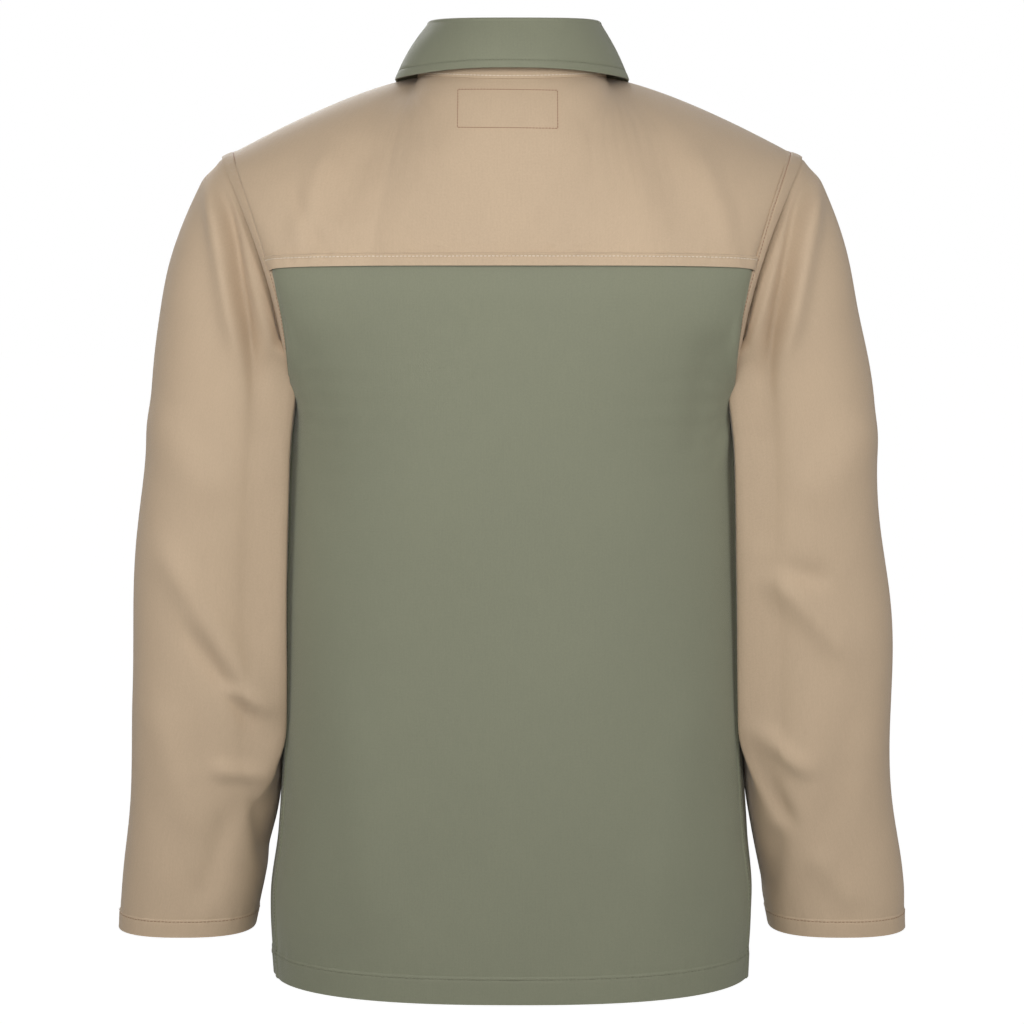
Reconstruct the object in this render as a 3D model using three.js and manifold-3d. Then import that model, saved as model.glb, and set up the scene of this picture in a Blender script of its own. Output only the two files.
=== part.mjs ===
// A two-colour work jacket for beekeeping, on its own as if worn: beige yoke and sleeves, green body
// and collar, and a full-length metal zip that hangs undone, so that both fronts can swing open.
// Millimetres. +Z is up, the front faces -Y and the wearer's left is +X.
// Heights in this file count from the hem; at the end the jacket is lowered so that the origin is at
// the back of the neck, which is what carries it.

import * as THREE from 'three';
import { mergeVertices } from 'three/addons/utils/BufferGeometryUtils.js';
import Module from 'manifold-3d';

const wasm = await Module();
wasm.setup();

// Driving dimensions
const NECK_HEIGHT = 750;        // origin above the hem
const CLOTH = 1.6;              // thickness of the plain solids that stand for cloth
const GAP = 0.4;                // space left between neighbouring pieces
const RIDGE_GAP = 1.2;          // each yoke's distance from the shoulder line
const YOKE_GAP = 1.6;           // space at the yoke seam, whose two sides slope differently
const YOKE_SEAM = 592;          // height of the seam between yoke and body
const SIDE_Y = -5;              // where the body is widest, front to back
const NECK_Y = -16;              // middle of the neck, front to back
const BACK_SEAM_Y = 30;         // seam between back panel and side panel
const FRONT_SEAM = { x: 150, y: -103 };   // upright seam about which each front swings
const HEM_FRONT_Y = -148;       // centre front at the hem
const NECK_FRONT = { y: -112, height: 668 };
const BACK_ROUNDNESS = 2.4;     // exponent of the rounded-square curve across the back
const ARMHOLE = { x: 212, y: -5, height: 590, leanX: 29, leanZ: 96, back: 86, front: 74 };
const CUFF_HEIGHT = 36;

const COLOURS = {
  beige: '#b9a286', green: '#82836f', metal: '#b9b4a6', tape: '#6f6e5c', label: '#d8d0bd', loop: '#8f7d64',
};
const METAL = { roughness: 0.35, metalness: 0.9 };
const FABRIC = { roughness: 0.9, metalness: 0 };

// Body half-width, and centre-back depth, by height
const HALF_WIDTHS = [[0, 200.5], [70, 203.5], [120, 198], [220, 192.5], [330, 191], [440, 187.5],
  [487, 183.6]];
const BACK_DEPTHS = [[0, 128], [150, 121], [320, 117], [460, 121], [594, 125]];

// Outer and underarm seams of the sleeve, from the armhole to the cuff, as [x, height]
const SLEEVE_OUTER = [[241, 686], [263, 650], [282, 602], [292, 548], [301, 486], [309, 402], [317, 318],
  [321, 238], [324.5, 150], [331, 86], [334.5, CUFF_HEIGHT]];
const SLEEVE_INNER = [[183, 494], [189, 478], [192, 455], [193.5, 424], [194.5, 384], [194.5, 330],
  [194.5, 272], [195.5, 208], [199.5, 148], [210, 86], [219.5, CUFF_HEIGHT]];

// How far the sleeve reaches back and front of its middle, from the armhole (0) to the cuff (1)
const SLEEVE_BACK = [[0, ARMHOLE.back], [0.3, 77], [0.6, 70], [1, 57]];
const SLEEVE_FRONT = [[0, ARMHOLE.front], [0.3, 71], [0.6, 66], [1, 56]];

const vec = (x, y, z) => new THREE.Vector3(x, y, z);
const mix = (a, b, share) => a + (b - a) * share;
const power = (base, exponent) => Math.max(base, 0) ** exponent;

// Smooth curve through [place, value] points
function lookUp(table, place) {
  const last = table.length - 1;
  if (place <= table[0][0]) return table[0][1];
  if (place >= table[last][0]) return table[last][1];
  const i = table.findIndex(([at]) => at > place) - 1;
  const slope = (k) => {
    const low = Math.max(k - 1, 0);
    const high = Math.min(k + 1, last);
    return (table[high][1] - table[low][1]) / (table[high][0] - table[low][0]);
  };
  const span = table[i + 1][0] - table[i][0];
  const t = (place - table[i][0]) / span;
  const [a, b] = [table[i][1], table[i + 1][1]];
  const [m, n] = [slope(i) * span, slope(i + 1) * span];
  return a + t * (m + t * (3 * (b - a) - 2 * m - n + t * (2 * (a - b) + m + n)));
}

function solve(test, low, high) {
  for (let i = 0; i < 40; i += 1) {
    const middle = (low + high) / 2;
    if (test(middle) > 0) low = middle;
    else high = middle;
  }
  return (low + high) / 2;
}

const centreFrontY = (height) => mix(HEM_FRONT_Y, NECK_FRONT.y, height / NECK_FRONT.height);

// ---------------------------------------------------------------- armhole

// The armhole is an ellipse in a leaning plane. turn is 0 at the shoulder, a quarter turn at the back,
// half a turn under the arm and three quarters at the front.
function armholeLoop(turn) {
  const reach = Math.sin(turn) > 0 ? ARMHOLE.back : ARMHOLE.front;
  return vec(ARMHOLE.x + ARMHOLE.leanX * Math.cos(turn), ARMHOLE.y + reach * Math.sin(turn),
    ARMHOLE.height + ARMHOLE.leanZ * Math.cos(turn));
}

// Body-side edge of the felled strip that runs round the armhole
function bindingEdge(turn) {
  const across = Math.cos(turn) > 0 ? vec(-0.93, 0, 0.37) : vec(0.1, 0, -1);
  const around = Math.sin(turn) > 0 ? vec(-0.5, 0.87, 0) : vec(-0.5, -0.87, 0);
  const way = across.multiplyScalar(Math.abs(Math.cos(turn)));
  way.add(around.multiplyScalar(Math.abs(Math.sin(turn)))).normalize();
  return armholeLoop(turn).addScaledVector(way, 9 + 2.5 * Math.cos(turn));
}

// The side panel stops a little short of the strip
const panelEdge = (turn) => bindingEdge(turn).lerp(armholeLoop(turn), -0.2);
const UNDERARM_HEIGHT = bindingEdge(Math.PI).z;
const BACK_SEAM_TURN = solve((turn) => bindingEdge(turn).y - BACK_SEAM_Y, Math.PI / 2, Math.PI);

// ---------------------------------------------------------------- body surface

// Where a level cut through the body meets its side: the armhole strip, or the side of the body below it
function sideEdge(height, back) {
  if (height <= UNDERARM_HEIGHT) return vec(lookUp(HALF_WIDTHS, height), SIDE_Y, height);
  const level = Math.min(height, bindingEdge(back ? Math.PI / 2 : 1.5 * Math.PI).z);
  const turn = back
    ? solve((t) => bindingEdge(t).z - level, Math.PI / 2, Math.PI)
    : solve((t) => level - bindingEdge(t).z, Math.PI, 1.5 * Math.PI);
  return bindingEdge(turn);
}

// Back of the body: share 0 is the centre, share 1 the side edge
function backAt(share, height) {
  const edge = sideEdge(height, true);
  const angle = share * Math.PI / 2;
  const depth = lookUp(BACK_DEPTHS, height) - edge.y;
  return vec(edge.x * power(Math.sin(angle), 2 / BACK_ROUNDNESS),
    edge.y + depth * power(Math.cos(angle), 2 / BACK_ROUNDNESS), height);
}

function backSeamShare(height) {
  const edge = sideEdge(height, true);
  const depth = lookUp(BACK_DEPTHS, height) - edge.y;
  const rise = Math.max(BACK_SEAM_Y - edge.y, 0) / depth;
  return Math.acos(rise ** (BACK_ROUNDNESS / 2)) / (Math.PI / 2);
}

// Front of the body: every level cut passes through the upright front seam
function frontCut(height) {
  const edge = sideEdge(height, false);
  const centre = centreFrontY(height);
  const across = FRONT_SEAM.x / edge.x;
  const along = (FRONT_SEAM.y - edge.y) / (centre - edge.y);
  const roundness = solve((n) => across ** n + along ** n - 1, 1, 9);
  return { edge, centre, roundness };
}

function frontAt(x, height) {
  const { edge, centre, roundness } = frontCut(height);
  return vec(x, edge.y + (centre - edge.y) * power(1 - (x / edge.x) ** roundness, 1 / roundness), height);
}

// Side of the front, from the front seam (share 0) to the side edge (share 1)
function frontSideAt(share, height) {
  const { edge, centre, roundness } = frontCut(height);
  const angle = mix(Math.asin((FRONT_SEAM.x / edge.x) ** (roundness / 2)), Math.PI / 2, share);
  return vec(edge.x * power(Math.sin(angle), 2 / roundness),
    edge.y + (centre - edge.y) * power(Math.cos(angle), 2 / roundness), height);
}

// ---------------------------------------------------------------- neck and shoulders

// angle is 0 at centre back, a quarter turn at the side and half a turn at centre front
function neckRing(angle, { width, back, front, backHeight, sideHeight, frontHeight }) {
  const c = Math.cos(angle);
  const reach = c > 0 ? (back - NECK_Y) * c ** 0.8 : (NECK_Y - front) * c;
  const fall = c > 0 ? backHeight : frontHeight;
  return vec(width * power(Math.sin(angle), 0.9), NECK_Y + reach, mix(sideHeight, fall, c * c));
}
const NECK_SEAM = { width: 78, back: 80, front: -112, backHeight: 746, sideHeight: 752, frontHeight: 668 };
const ROLL_LINE = { width: 70.5, back: 68, front: -101, backHeight: 793, sideHeight: 787, frontHeight: 699 };
const FALL_EDGE = { width: 97, back: 89, front: -146, backHeight: 754, sideHeight: 753, frontHeight: 590 };
const neckAngle = (x, { width }) => Math.PI - Math.asin((x / width) ** (1 / 0.9));
const COLLAR_END = neckAngle(10, NECK_SEAM);
const FALL_END = neckAngle(58, FALL_EDGE);

// Shoulder line from the neck (share 0) to the armhole strip (share 1)
function ridge(share) {
  const end = bindingEdge(0);
  const start = neckRing(Math.PI / 2, NECK_SEAM);
  return vec(mix(start.x, end.x, share), mix(start.y, end.y, share), mix(start.z, end.z, share ** 1.35));
}

// A yoke hangs from the neck seam and shoulder line as a fan of rounded ribs down to the yoke seam.
// across runs from the centre (0) to the armhole (1), down from the top (0) to the seam (1).
const NECK_PART = 0.36;
const CORNER_GAP = 0.01;
function yokeAt(across, down, back, centreX) {
  const lastAngle = back ? 0 : neckAngle(centreX, NECK_SEAM);
  const top = across < NECK_PART
    ? neckRing(mix(lastAngle, Math.PI / 2, across / NECK_PART), NECK_SEAM)
    : ridge((across - NECK_PART) / (1 - NECK_PART));
  const corner = sideEdge(YOKE_SEAM, back);
  const x = mix(centreX, corner.x * 0.9999, across);
  const bottom = back ? backAt(across, YOKE_SEAM) : frontAt(x, YOKE_SEAM);
  bottom.z += YOKE_GAP / 2;
  const turn = down * Math.PI / 2;
  const fullness = mix(0.5, 1, across);
  const drop = mix(down, 1 - Math.cos(turn), fullness);
  const out = mix(down, Math.sin(turn), fullness);
  const rib = vec(mix(top.x, bottom.x, drop), mix(top.y, bottom.y, out), mix(top.z, bottom.z, drop));
  const edgeTurn = turn * (1 - CORNER_GAP);
  const edge = bindingEdge(back ? edgeTurn : 2 * Math.PI - edgeTurn);
  return rib.lerp(edge, Math.max(0, (across - 0.8) / 0.2) ** 3);
}

// ---------------------------------------------------------------- making solids

// Points on a grid: rows run with v, columns with u, both from 0 to 1
const grid = (rows, columns, at) => Array.from({ length: rows + 1 }, (_, i) =>
  Array.from({ length: columns + 1 }, (_, j) => at(j / columns, i / rows)));

// Grid moved along its own normals; core(point) is a point on the inner side of the surface there
function offset(points, distance, core, wrapped = false) {
  const rows = points.length;
  const columns = points[0].length;
  return points.map((row, i) => row.map((p, j) => {
    const before = wrapped ? row[(j + columns - 1) % columns] : row[Math.max(j - 1, 0)];
    const after = wrapped ? row[(j + 1) % columns] : row[Math.min(j + 1, columns - 1)];
    const along = after.clone().sub(before);
    const up = points[Math.min(i + 1, rows - 1)][j].clone().sub(points[Math.max(i - 1, 0)][j]);
    const normal = along.cross(up).normalize();
    if (normal.dot(p.clone().sub(core(p))) < 0) normal.negate();
    return p.clone().addScaledVector(normal, distance);
  }));
}

// One closed body between two grids. A wrapped grid closes on itself from its last column to its first.
function between(outer, inner, wrapped = false) {
  const rows = outer.length;
  const columns = outer[0].length;
  const at = (layer, i, j) => (layer * rows + i) * columns + (j % columns);
  const quads = [];
  const spans = wrapped ? columns : columns - 1;
  for (let j = 0; j < spans; j += 1) {
    for (let i = 0; i < rows - 1; i += 1) {
      quads.push([at(0, i, j), at(0, i, j + 1), at(0, i + 1, j + 1), at(0, i + 1, j)]);
      quads.push([at(1, i, j), at(1, i + 1, j), at(1, i + 1, j + 1), at(1, i, j + 1)]);
    }
    const top = rows - 1;
    quads.push([at(1, 0, j), at(1, 0, j + 1), at(0, 0, j + 1), at(0, 0, j)]);
    quads.push([at(0, top, j), at(0, top, j + 1), at(1, top, j + 1), at(1, top, j)]);
  }
  if (!wrapped) {
    const end = columns - 1;
    for (let i = 0; i < rows - 1; i += 1) {
      quads.push([at(0, i, 0), at(0, i + 1, 0), at(1, i + 1, 0), at(1, i, 0)]);
      quads.push([at(1, i, end), at(1, i + 1, end), at(0, i + 1, end), at(0, i, end)]);
    }
  }
  const geometry = new THREE.BufferGeometry();
  const places = [...outer.flat(), ...inner.flat()].flatMap((p) => [p.x, p.y, p.z]);
  geometry.setAttribute('position', new THREE.Float32BufferAttribute(places, 3));
  geometry.setIndex(quads.flatMap(([a, b, c, d]) => [a, b, c, a, c, d]));
  return facingOut(geometry);
}

function facingOut(geometry) {
  const place = geometry.getAttribute('position');
  const index = geometry.getIndex();
  const corner = (k) => vec().fromBufferAttribute(place, index.getX(k));
  let volume = 0;
  for (let k = 0; k < index.count; k += 3) volume += corner(k).dot(corner(k + 1).cross(corner(k + 2)));
  if (volume < 0) {
    const flipped = Array.from(index.array);
    for (let k = 0; k < flipped.length; k += 3) [flipped[k], flipped[k + 1]] = [flipped[k + 1], flipped[k]];
    geometry.setIndex(flipped);
  }
  geometry.computeVertexNormals();
  return geometry;
}

const jacket = new THREE.Group();

function add(name, geometry, colour, finish = FABRIC, parent = jacket) {
  const material = new THREE.MeshStandardMaterial({ color: COLOURS[colour], ...finish });
  const mesh = new THREE.Mesh(geometry, material);
  mesh.name = name;
  parent.add(mesh);
  return mesh;
}

const mirrored = (points, side) => points.map((row) => row.map((p) => vec(side * p.x, p.y, p.z)));
const bodyCore = (p) => vec(p.x * 0.3, -10, Math.min(p.z, 640));

// A layer of cloth on the body: from and to are distances outwards from the outer skin
function addLayer(name, points, colour, from = -CLOTH, to = 0, core = bodyCore) {
  add(name, between(offset(points, to, core), offset(points, from, core)), colour);
}

// ---------------------------------------------------------------- body panels

function addBackPanel() {
  const seamEnd = bindingEdge(BACK_SEAM_TURN).z;
  const heights = [...[0, 0.2, 0.4, 0.6, 0.8, 1].map((v) => v * seamEnd),
    ...[0.2, 0.45, 0.7, 1].map((v) => mix(seamEnd, YOKE_SEAM - YOKE_GAP / 2, v))];
  const columns = 18;
  const points = heights.map((height) => {
    const last = height <= seamEnd ? backSeamShare(height) - 0.002 : 1;
    return Array.from({ length: columns + 1 }, (_, j) => {
      const u = 2 * j / columns - 1;
      const p = backAt(Math.abs(u) * last, height);
      return vec(Math.sign(u) * p.x, p.y, height);
    });
  });
  addLayer('back_panel', points, 'green');
}

// From the front seam round the side to the back seam; its top follows the yoke seam and the armhole strip
function sidePanelAt(u, v) {
  const [SEAM_PART, FRONT_PART] = [0.4, 0.78];
  if (u > FRONT_PART) {
    const share = (u - FRONT_PART) / (1 - FRONT_PART);
    const top = panelEdge(mix(Math.PI, BACK_SEAM_TURN, share));
    const on = (height) => backAt(mix(1, backSeamShare(height) + 0.002, share), height);
    return on(v * top.z).lerp(top, Math.max(0, (v - 0.8) / 0.2) ** 2);
  }
  const top = u < SEAM_PART
    ? frontSideAt(u / SEAM_PART, YOKE_SEAM - YOKE_GAP / 2)
    : panelEdge(mix(1.5 * Math.PI, Math.PI, (u - SEAM_PART) / (FRONT_PART - SEAM_PART)));
  const height = v * top.z;
  const share = mix(u / FRONT_PART, Math.min(u / SEAM_PART, 1), v ** 4);
  const pull = u < SEAM_PART ? 0 : Math.max(0, (v - 0.8) / 0.2) ** 2;
  return frontSideAt(mix(0.003, 1, share), height).lerp(top, pull);
}

function addSidePanel(name, side) {
  addLayer(`${name}_side_panel`, mirrored(grid(8, 15, sidePanelAt), side), 'green');
}

function addBackYoke() {
  const points = grid(8, 24, (u, v) => {
    const p = yokeAt(Math.abs(2 * u - 1), v, true, 0);
    return vec(Math.sign(u - 0.5) * p.x, p.y + RIDGE_GAP * (1 - v), p.z);
  });
  addLayer('back_yoke', points, 'beige', -CLOTH, 0, (p) => vec(p.x * 0.3, -60, Math.min(p.z, 640)));
}

function addFrontYoke(name, side) {
  const points = grid(8, 12, (u, v) => yokeAt(u, v, false, 14).add(vec(0, -RIDGE_GAP * (1 - v), 0)));
  const core = (p) => vec(p.x * 0.5, 60, Math.min(p.z, 640));
  addLayer(`${name}_front_yoke`, mirrored(points, side), 'beige', -CLOTH, 0, core);
}

function addArmholeBinding(name, side) {
  const steps = 32;
  const strip = [0.27, 0.86].map((share) => Array.from({ length: steps }, (_, j) => {
    const turn = 2 * Math.PI * j / steps;
    return bindingEdge(turn).lerp(armholeLoop(turn), share);
  }));
  const points = mirrored(strip, side);
  const core = () => vec(side * 100, -5, 590);
  const [outer, inner] = [0.3, -CLOTH].map((distance) => offset(points, distance, core, true));
  add(`${name}_armhole_binding`, between(outer, inner, true), 'beige');
}

// ---------------------------------------------------------------- collar

const headCore = (p) => vec(0, NECK_Y, p.z);
const collarCore = (p) => vec(0, NECK_Y, p.z - 60);

function aroundNeck(u, end, ring) {
  const side = u < 0.5 ? -1 : 1;
  return neckRing(Math.abs(2 * u - 1) * end, ring).multiply(vec(side, 1, 1));
}

function addCollar() {
  const stand = grid(3, 28, (u, v) => aroundNeck(u, COLLAR_END, NECK_SEAM)
    .add(vec(0, 0, 2.8)).lerp(aroundNeck(u, COLLAR_END, ROLL_LINE), v));
  addLayer('collar_stand', stand, 'beige', -CLOTH, 0, headCore);

  // The fall turns over the stand at the roll line, then drops to its outer edge
  const outwards = (p, distance) => p.clone().add(vec(p.x, p.y - NECK_Y, 0).setLength(distance));
  const rollLine = (u) => aroundNeck(u, COLLAR_END, ROLL_LINE);
  const fall = (u, share) => rollLine(u).lerp(aroundNeck(u, FALL_END, FALL_EDGE), share);
  const raised = (p, lift) => p.add(vec(0, 0, lift));
  const turnOver = [(u) => raised(fall(u, 0), 0.7), (u) => raised(outwards(fall(u, 0), 1.6), 2.2),
    (u) => outwards(fall(u, 0.03), 3.4)];
  const hanging = [0.2, 0.4, 0.6, 0.8, 1].map((s) => (u) => outwards(fall(u, s), 3.4 * (1 - s)));
  const profile = [...turnOver, ...hanging];
  const rows = (from) => profile.slice(from).map((at) => Array.from({ length: 29 }, (_, j) => at(j / 28)));
  addLayer('top_collar', rows(0), 'green', 0, 1.2, collarCore);
  addLayer('under_collar', rows(turnOver.length), 'green', -1.7, -GAP, collarCore);
}

// ---------------------------------------------------------------- label and hanger loop

function addNeckLabel() {
  const [middle, along] = [yokeAt(0.02, 0.29, true, 0), yokeAt(0.02, 0.35, true, 0)];
  const lean = Math.atan2(along.y - middle.y, middle.z - along.z);
  const label = add('neck_label', new THREE.BoxGeometry(79, 1, 32), 'label');
  label.position.copy(middle).add(vec(3, -13, -4));
  label.rotation.x = lean;
}

function addHangerLoop() {
  const shape = new THREE.Shape();
  shape.moveTo(-30, 0);
  shape.bezierCurveTo(-30, -30, -20, -34, 0, -34);
  shape.bezierCurveTo(20, -34, 30, -30, 30, 0);
  shape.lineTo(23, 0);
  shape.bezierCurveTo(23, -22, 15, -27, 0, -27);
  shape.bezierCurveTo(-15, -27, -23, -22, -23, 0);
  const strap = new THREE.ExtrudeGeometry(shape, { depth: 1.4, bevelEnabled: false, curveSegments: 6 });
  const loop = add('hanger_loop', strap, 'loop');
  loop.rotation.x = Math.PI / 2;
  loop.position.set(0, NECK_SEAM.back - 11, NECK_SEAM.backHeight - 1);
}

// ---------------------------------------------------------------- fronts

function frontLayer(rows, columns, x, height) {
  return grid(rows, columns, (u, v) => frontAt(mix(x[0], x[1], u), mix(height[0], height[1], v)));
}

// A patch pocket is sewn down at its sides and bottom and stands open at the top
function addPocket(name, side, { x, height, fullness }) {
  const rows = 6;
  const columns = 10;
  const flat = mirrored(frontLayer(rows, columns, x, height), side);
  const stand = (i, j) => GAP + fullness * Math.sqrt(4 * (j / columns) * (1 - j / columns))
    * Math.sin(Math.PI / 2 * i / rows) ** 0.6;
  const lifted = (i, j, extra) => offset(flat, stand(i, j) + extra, bodyCore)[i][j];
  const layer = (extra) => flat.map((row, i) => row.map((_, j) => lifted(i, j, extra)));
  add(name, between(layer(CLOTH * 0.75), layer(0)), 'green');
}

const FLAP = { x: [30, 134], top: 537, drop: 46, thick: 1.3 };
const CHEST_POCKET = { x: [32, 132], height: [402, 524], fullness: 7.5 };
const LOWER_POCKET = { x: [28, 140], height: [48, 238], fullness: 9 };

// Local frame of a chest flap: x along its hinge, y inwards, z up; the origin is the hinge's middle
function flapFrame(side) {
  const [near, far] = FLAP.x.map((x) => frontAt(x, FLAP.top));
  const middle = frontAt((FLAP.x[0] + FLAP.x[1]) / 2, FLAP.top);
  const frame = new THREE.Group();
  const yaw = Math.atan2(far.y - near.y, far.x - near.x);
  frame.position.set(side * middle.x, middle.y - 2.2, FLAP.top);
  frame.rotation.z = side * yaw;
  jacket.add(frame);
  return frame;
}

function addChestFlap(name, side) {
  const frame = flapFrame(side);
  const profile = new THREE.Shape();
  const outline = [[0, 0], [-9.6, -9], [-13.7, -FLAP.drop]];
  outline.forEach(([y, z], i) => (i ? profile.lineTo(-y, z) : profile.moveTo(-y, z)));
  outline.reverse().forEach(([y, z]) => profile.lineTo(-y + FLAP.thick, z));
  const length = FLAP.x[1] - FLAP.x[0];
  const extruded = new THREE.ExtrudeGeometry(profile, { depth: length, bevelEnabled: false });
  const flap = add(`${name}_chest_flap`, extruded, 'beige', FABRIC, frame);
  flap.position.x = length / 2;
  flap.geometry.applyMatrix4(new THREE.Matrix4().makeBasis(vec(0, -1, 0), vec(0, 0, 1), vec(-1, 0, 0)));
  const cap = add(`${name}_stud_cap`, new THREE.CylinderGeometry(6, 6.4, 1.5, 24), 'metal', METAL, frame);
  cap.position.set(0, -15.3, -33);
  cap.rotation.x = -0.11;
  const post = add(`${name}_stud_post`, new THREE.CylinderGeometry(5, 5, 1, 20), 'metal', METAL, frame);
  post.position.set(0, -10.9, -33);
}

function addFront(name, side) {
  const panel = frontLayer(9, 12, [12, FRONT_SEAM.x - 0.2], [0, YOKE_SEAM - YOKE_GAP / 2]);
  addLayer(`${name}_front_panel`, mirrored(panel, side), 'green');
  const facing = frontLayer(8, 3, [13, 52], [3, YOKE_SEAM - 5]);
  addLayer(`${name}_front_facing`, mirrored(facing, side), 'green', -5.8, -4.4);
  addPocket(`${name}_chest_pocket`, side, CHEST_POCKET);
  addPocket(`${name}_lower_pocket`, side, LOWER_POCKET);
  addChestFlap(name, side);
}

// ---------------------------------------------------------------- zip

// Local frame of the zip: z up along the centre-front line, y inwards, origin on the outer skin at the hem
const zip = new THREE.Group();
zip.position.set(0, HEM_FRONT_Y, 0);
zip.rotation.x = -Math.atan2(NECK_FRONT.y - HEM_FRONT_Y, NECK_FRONT.height);
jacket.add(zip);

const ZIP = { teethX: [3, 6], teethThick: 4.4, middleY: 3.1, tapeThick: 1, bottom: 3, boxTop: 11, top: 664 };

function box(x, y, z) {
  const geometry = new THREE.BoxGeometry(x[1] - x[0], y[1] - y[0], z[1] - z[0]);
  return geometry.translate((x[0] + x[1]) / 2, (y[0] + y[1]) / 2, (z[0] + z[1]) / 2);
}

function addZipSide(name, side) {
  const { middleY, teethX, teethThick, tapeThick } = ZIP;
  const toSide = (x) => x.map((value) => side * value).sort((a, b) => a - b);
  const outline = [[7.8, ZIP.bottom], [17, ZIP.bottom], [17, 588], [12, 600], [12, ZIP.top], [6.3, ZIP.top],
    [6.3, ZIP.boxTop + 1], [7.8, ZIP.boxTop + 1]];
  const shape = new THREE.Shape(outline.map(([x, z]) => new THREE.Vector2(side * x, z)));
  const strip = new THREE.ExtrudeGeometry(shape, { depth: tapeThick, bevelEnabled: false });
  const tape = add(`${name}_zip_tape`, strip, 'tape', FABRIC, zip);
  tape.rotation.x = Math.PI / 2;
  tape.position.y = middleY + tapeThick / 2;
  const thick = [middleY - teethThick / 2, middleY + teethThick / 2];
  const teethBottom = side > 0 ? ZIP.boxTop + 0.5 : 17;
  add(`${name}_zip_teeth`, box(toSide(teethX), thick, [teethBottom, ZIP.top - 6]), 'metal', METAL, zip);
  add(`${name}_top_stop`, box(toSide([2.6, 6]), thick, [ZIP.top - 5.5, ZIP.top]), 'metal', METAL, zip);
}

function toManifold(geometry) {
  const bare = geometry.clone();
  bare.deleteAttribute('normal');
  bare.deleteAttribute('uv');
  const merged = mergeVertices(bare, 1e-4);
  const vertProperties = new Float32Array(merged.attributes.position.array);
  const triVerts = new Uint32Array(merged.index.array);
  return new wasm.Manifold(new wasm.Mesh({ numProp: 3, vertProperties, triVerts }));
}

function fromManifold(solid) {
  const mesh = solid.getMesh();
  const geometry = new THREE.BufferGeometry();
  geometry.setAttribute('position', new THREE.BufferAttribute(new Float32Array(mesh.vertProperties), 3));
  geometry.setIndex(new THREE.BufferAttribute(new Uint32Array(mesh.triVerts), 1));
  return facingOut(geometry);
}

// The slider has a front and a back plate joined by a post, and a bridge that holds the pull.
// It runs on the left row of teeth; the right row hangs free beside it.
const SLIDER = { bottom: ZIP.boxTop + 0.4, height: 11, x: [-2.2, 7.2], plate: 1, bridgeWide: 2.4 };
const PULL_AXIS = { y: -1.75, z: SLIDER.bottom + 6 };

function addSlider() {
  const { bottom, height, x, plate } = SLIDER;
  const z = [bottom, bottom + height];
  const front = ZIP.middleY - ZIP.teethThick / 2 - 0.35;
  const back = ZIP.middleY + ZIP.teethThick / 2 + 0.35;
  const middle = (x[0] + x[1]) / 2;
  const bridge = [middle - SLIDER.bridgeWide / 2, middle + SLIDER.bridgeWide / 2];
  const parts = [
    box(x, [front - plate, front], z),
    box(x, [back, back + plate], z),
    box([0.7, 2.6], [front - plate / 2, back + plate / 2], z),
    box(bridge, [front - 4.6, front - 3.6], [PULL_AXIS.z - 3.6, PULL_AXIS.z + 3.6]),
    box(bridge, [front - 4.6, front - plate / 2], [PULL_AXIS.z - 3.6, PULL_AXIS.z - 2.4]),
    box(bridge, [front - 4.6, front - plate / 2], [PULL_AXIS.z + 2.4, PULL_AXIS.z + 3.6]),
  ];
  const body = parts.map(toManifold).reduce((whole, part) => whole.add(part));
  add('zip_slider', fromManifold(body), 'metal', METAL, zip);
}

function addPull() {
  const middle = (SLIDER.x[0] + SLIDER.x[1]) / 2;
  const outline = new THREE.Shape([[-3, 0.7], [3, 0.7], [3, -20], [1.6, -22], [-1.6, -22], [-3, -20]]
    .map(([x, z]) => new THREE.Vector2(x, z)));
  outline.holes.push(new THREE.Path([[-1.7, -0.7], [-1.7, -7], [1.7, -7], [1.7, -0.7]]
    .map(([x, z]) => new THREE.Vector2(x, z))));
  const plate = new THREE.ExtrudeGeometry(outline, { depth: 1.2, bevelEnabled: false });
  const pull = add('zip_pull', plate, 'metal', METAL, zip);
  pull.rotation.x = Math.PI / 2;
  pull.position.set(middle, PULL_AXIS.y + 0.6, PULL_AXIS.z);
}

function addZip() {
  addZipSide('left', 1);
  addZipSide('right', -1);
  add('zip_box', box([-2, 7.3], [0.3, 5.9], [ZIP.bottom, ZIP.boxTop]), 'metal', METAL, zip);
  add('zip_pin', box([-6, -4.2], [1.8, 4.4], [ZIP.bottom, 16.6]), 'metal', METAL, zip);
  addSlider();
  addPull();
}

// ---------------------------------------------------------------- sleeves

// Rings from the armhole (share 0) to the cuff (share 1); each spans the outer and the underarm seam
function sleeveRing(share, turn) {
  const stations = (seam, k) => seam.map((point, i) => [i, point[k]]);
  const place = share * (SLEEVE_OUTER.length - 1);
  const on = (seam) => vec(lookUp(stations(seam, 0), place), 0, lookUp(stations(seam, 1), place));
  const outer = on(SLEEVE_OUTER);
  const inner = on(SLEEVE_INNER);
  const centre = outer.clone().add(inner).multiplyScalar(0.5);
  const half = outer.sub(inner).multiplyScalar(0.5);
  const depth = lookUp(Math.sin(turn) > 0 ? SLEEVE_BACK : SLEEVE_FRONT, share);
  centre.y = mix(ARMHOLE.y, -14, share);
  return centre.addScaledVector(half, Math.cos(turn)).add(vec(0, depth * Math.sin(turn), 0));
}

function addSleeve(name, side) {
  const around = 24;
  const shares = [0.004, 0.05, 0.1, 0.18, 0.27, 0.37, 0.48, 0.6, 0.72, 0.84, 0.93, 1];
  const points = shares.map((share) => Array.from({ length: around }, (_, j) => {
    const p = sleeveRing(share, 2 * Math.PI * j / around);
    return vec(side * (p.x + 1), p.y, p.z - 0.3);
  }));
  const core = (p) => {
    const row = points.find((ring) => ring.includes(p));
    return row.reduce((sum, q) => sum.add(q), vec()).divideScalar(row.length);
  };
  add(`${name}_sleeve`, between(points, offset(points, -CLOTH, core, true), true), 'beige');
}

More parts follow.
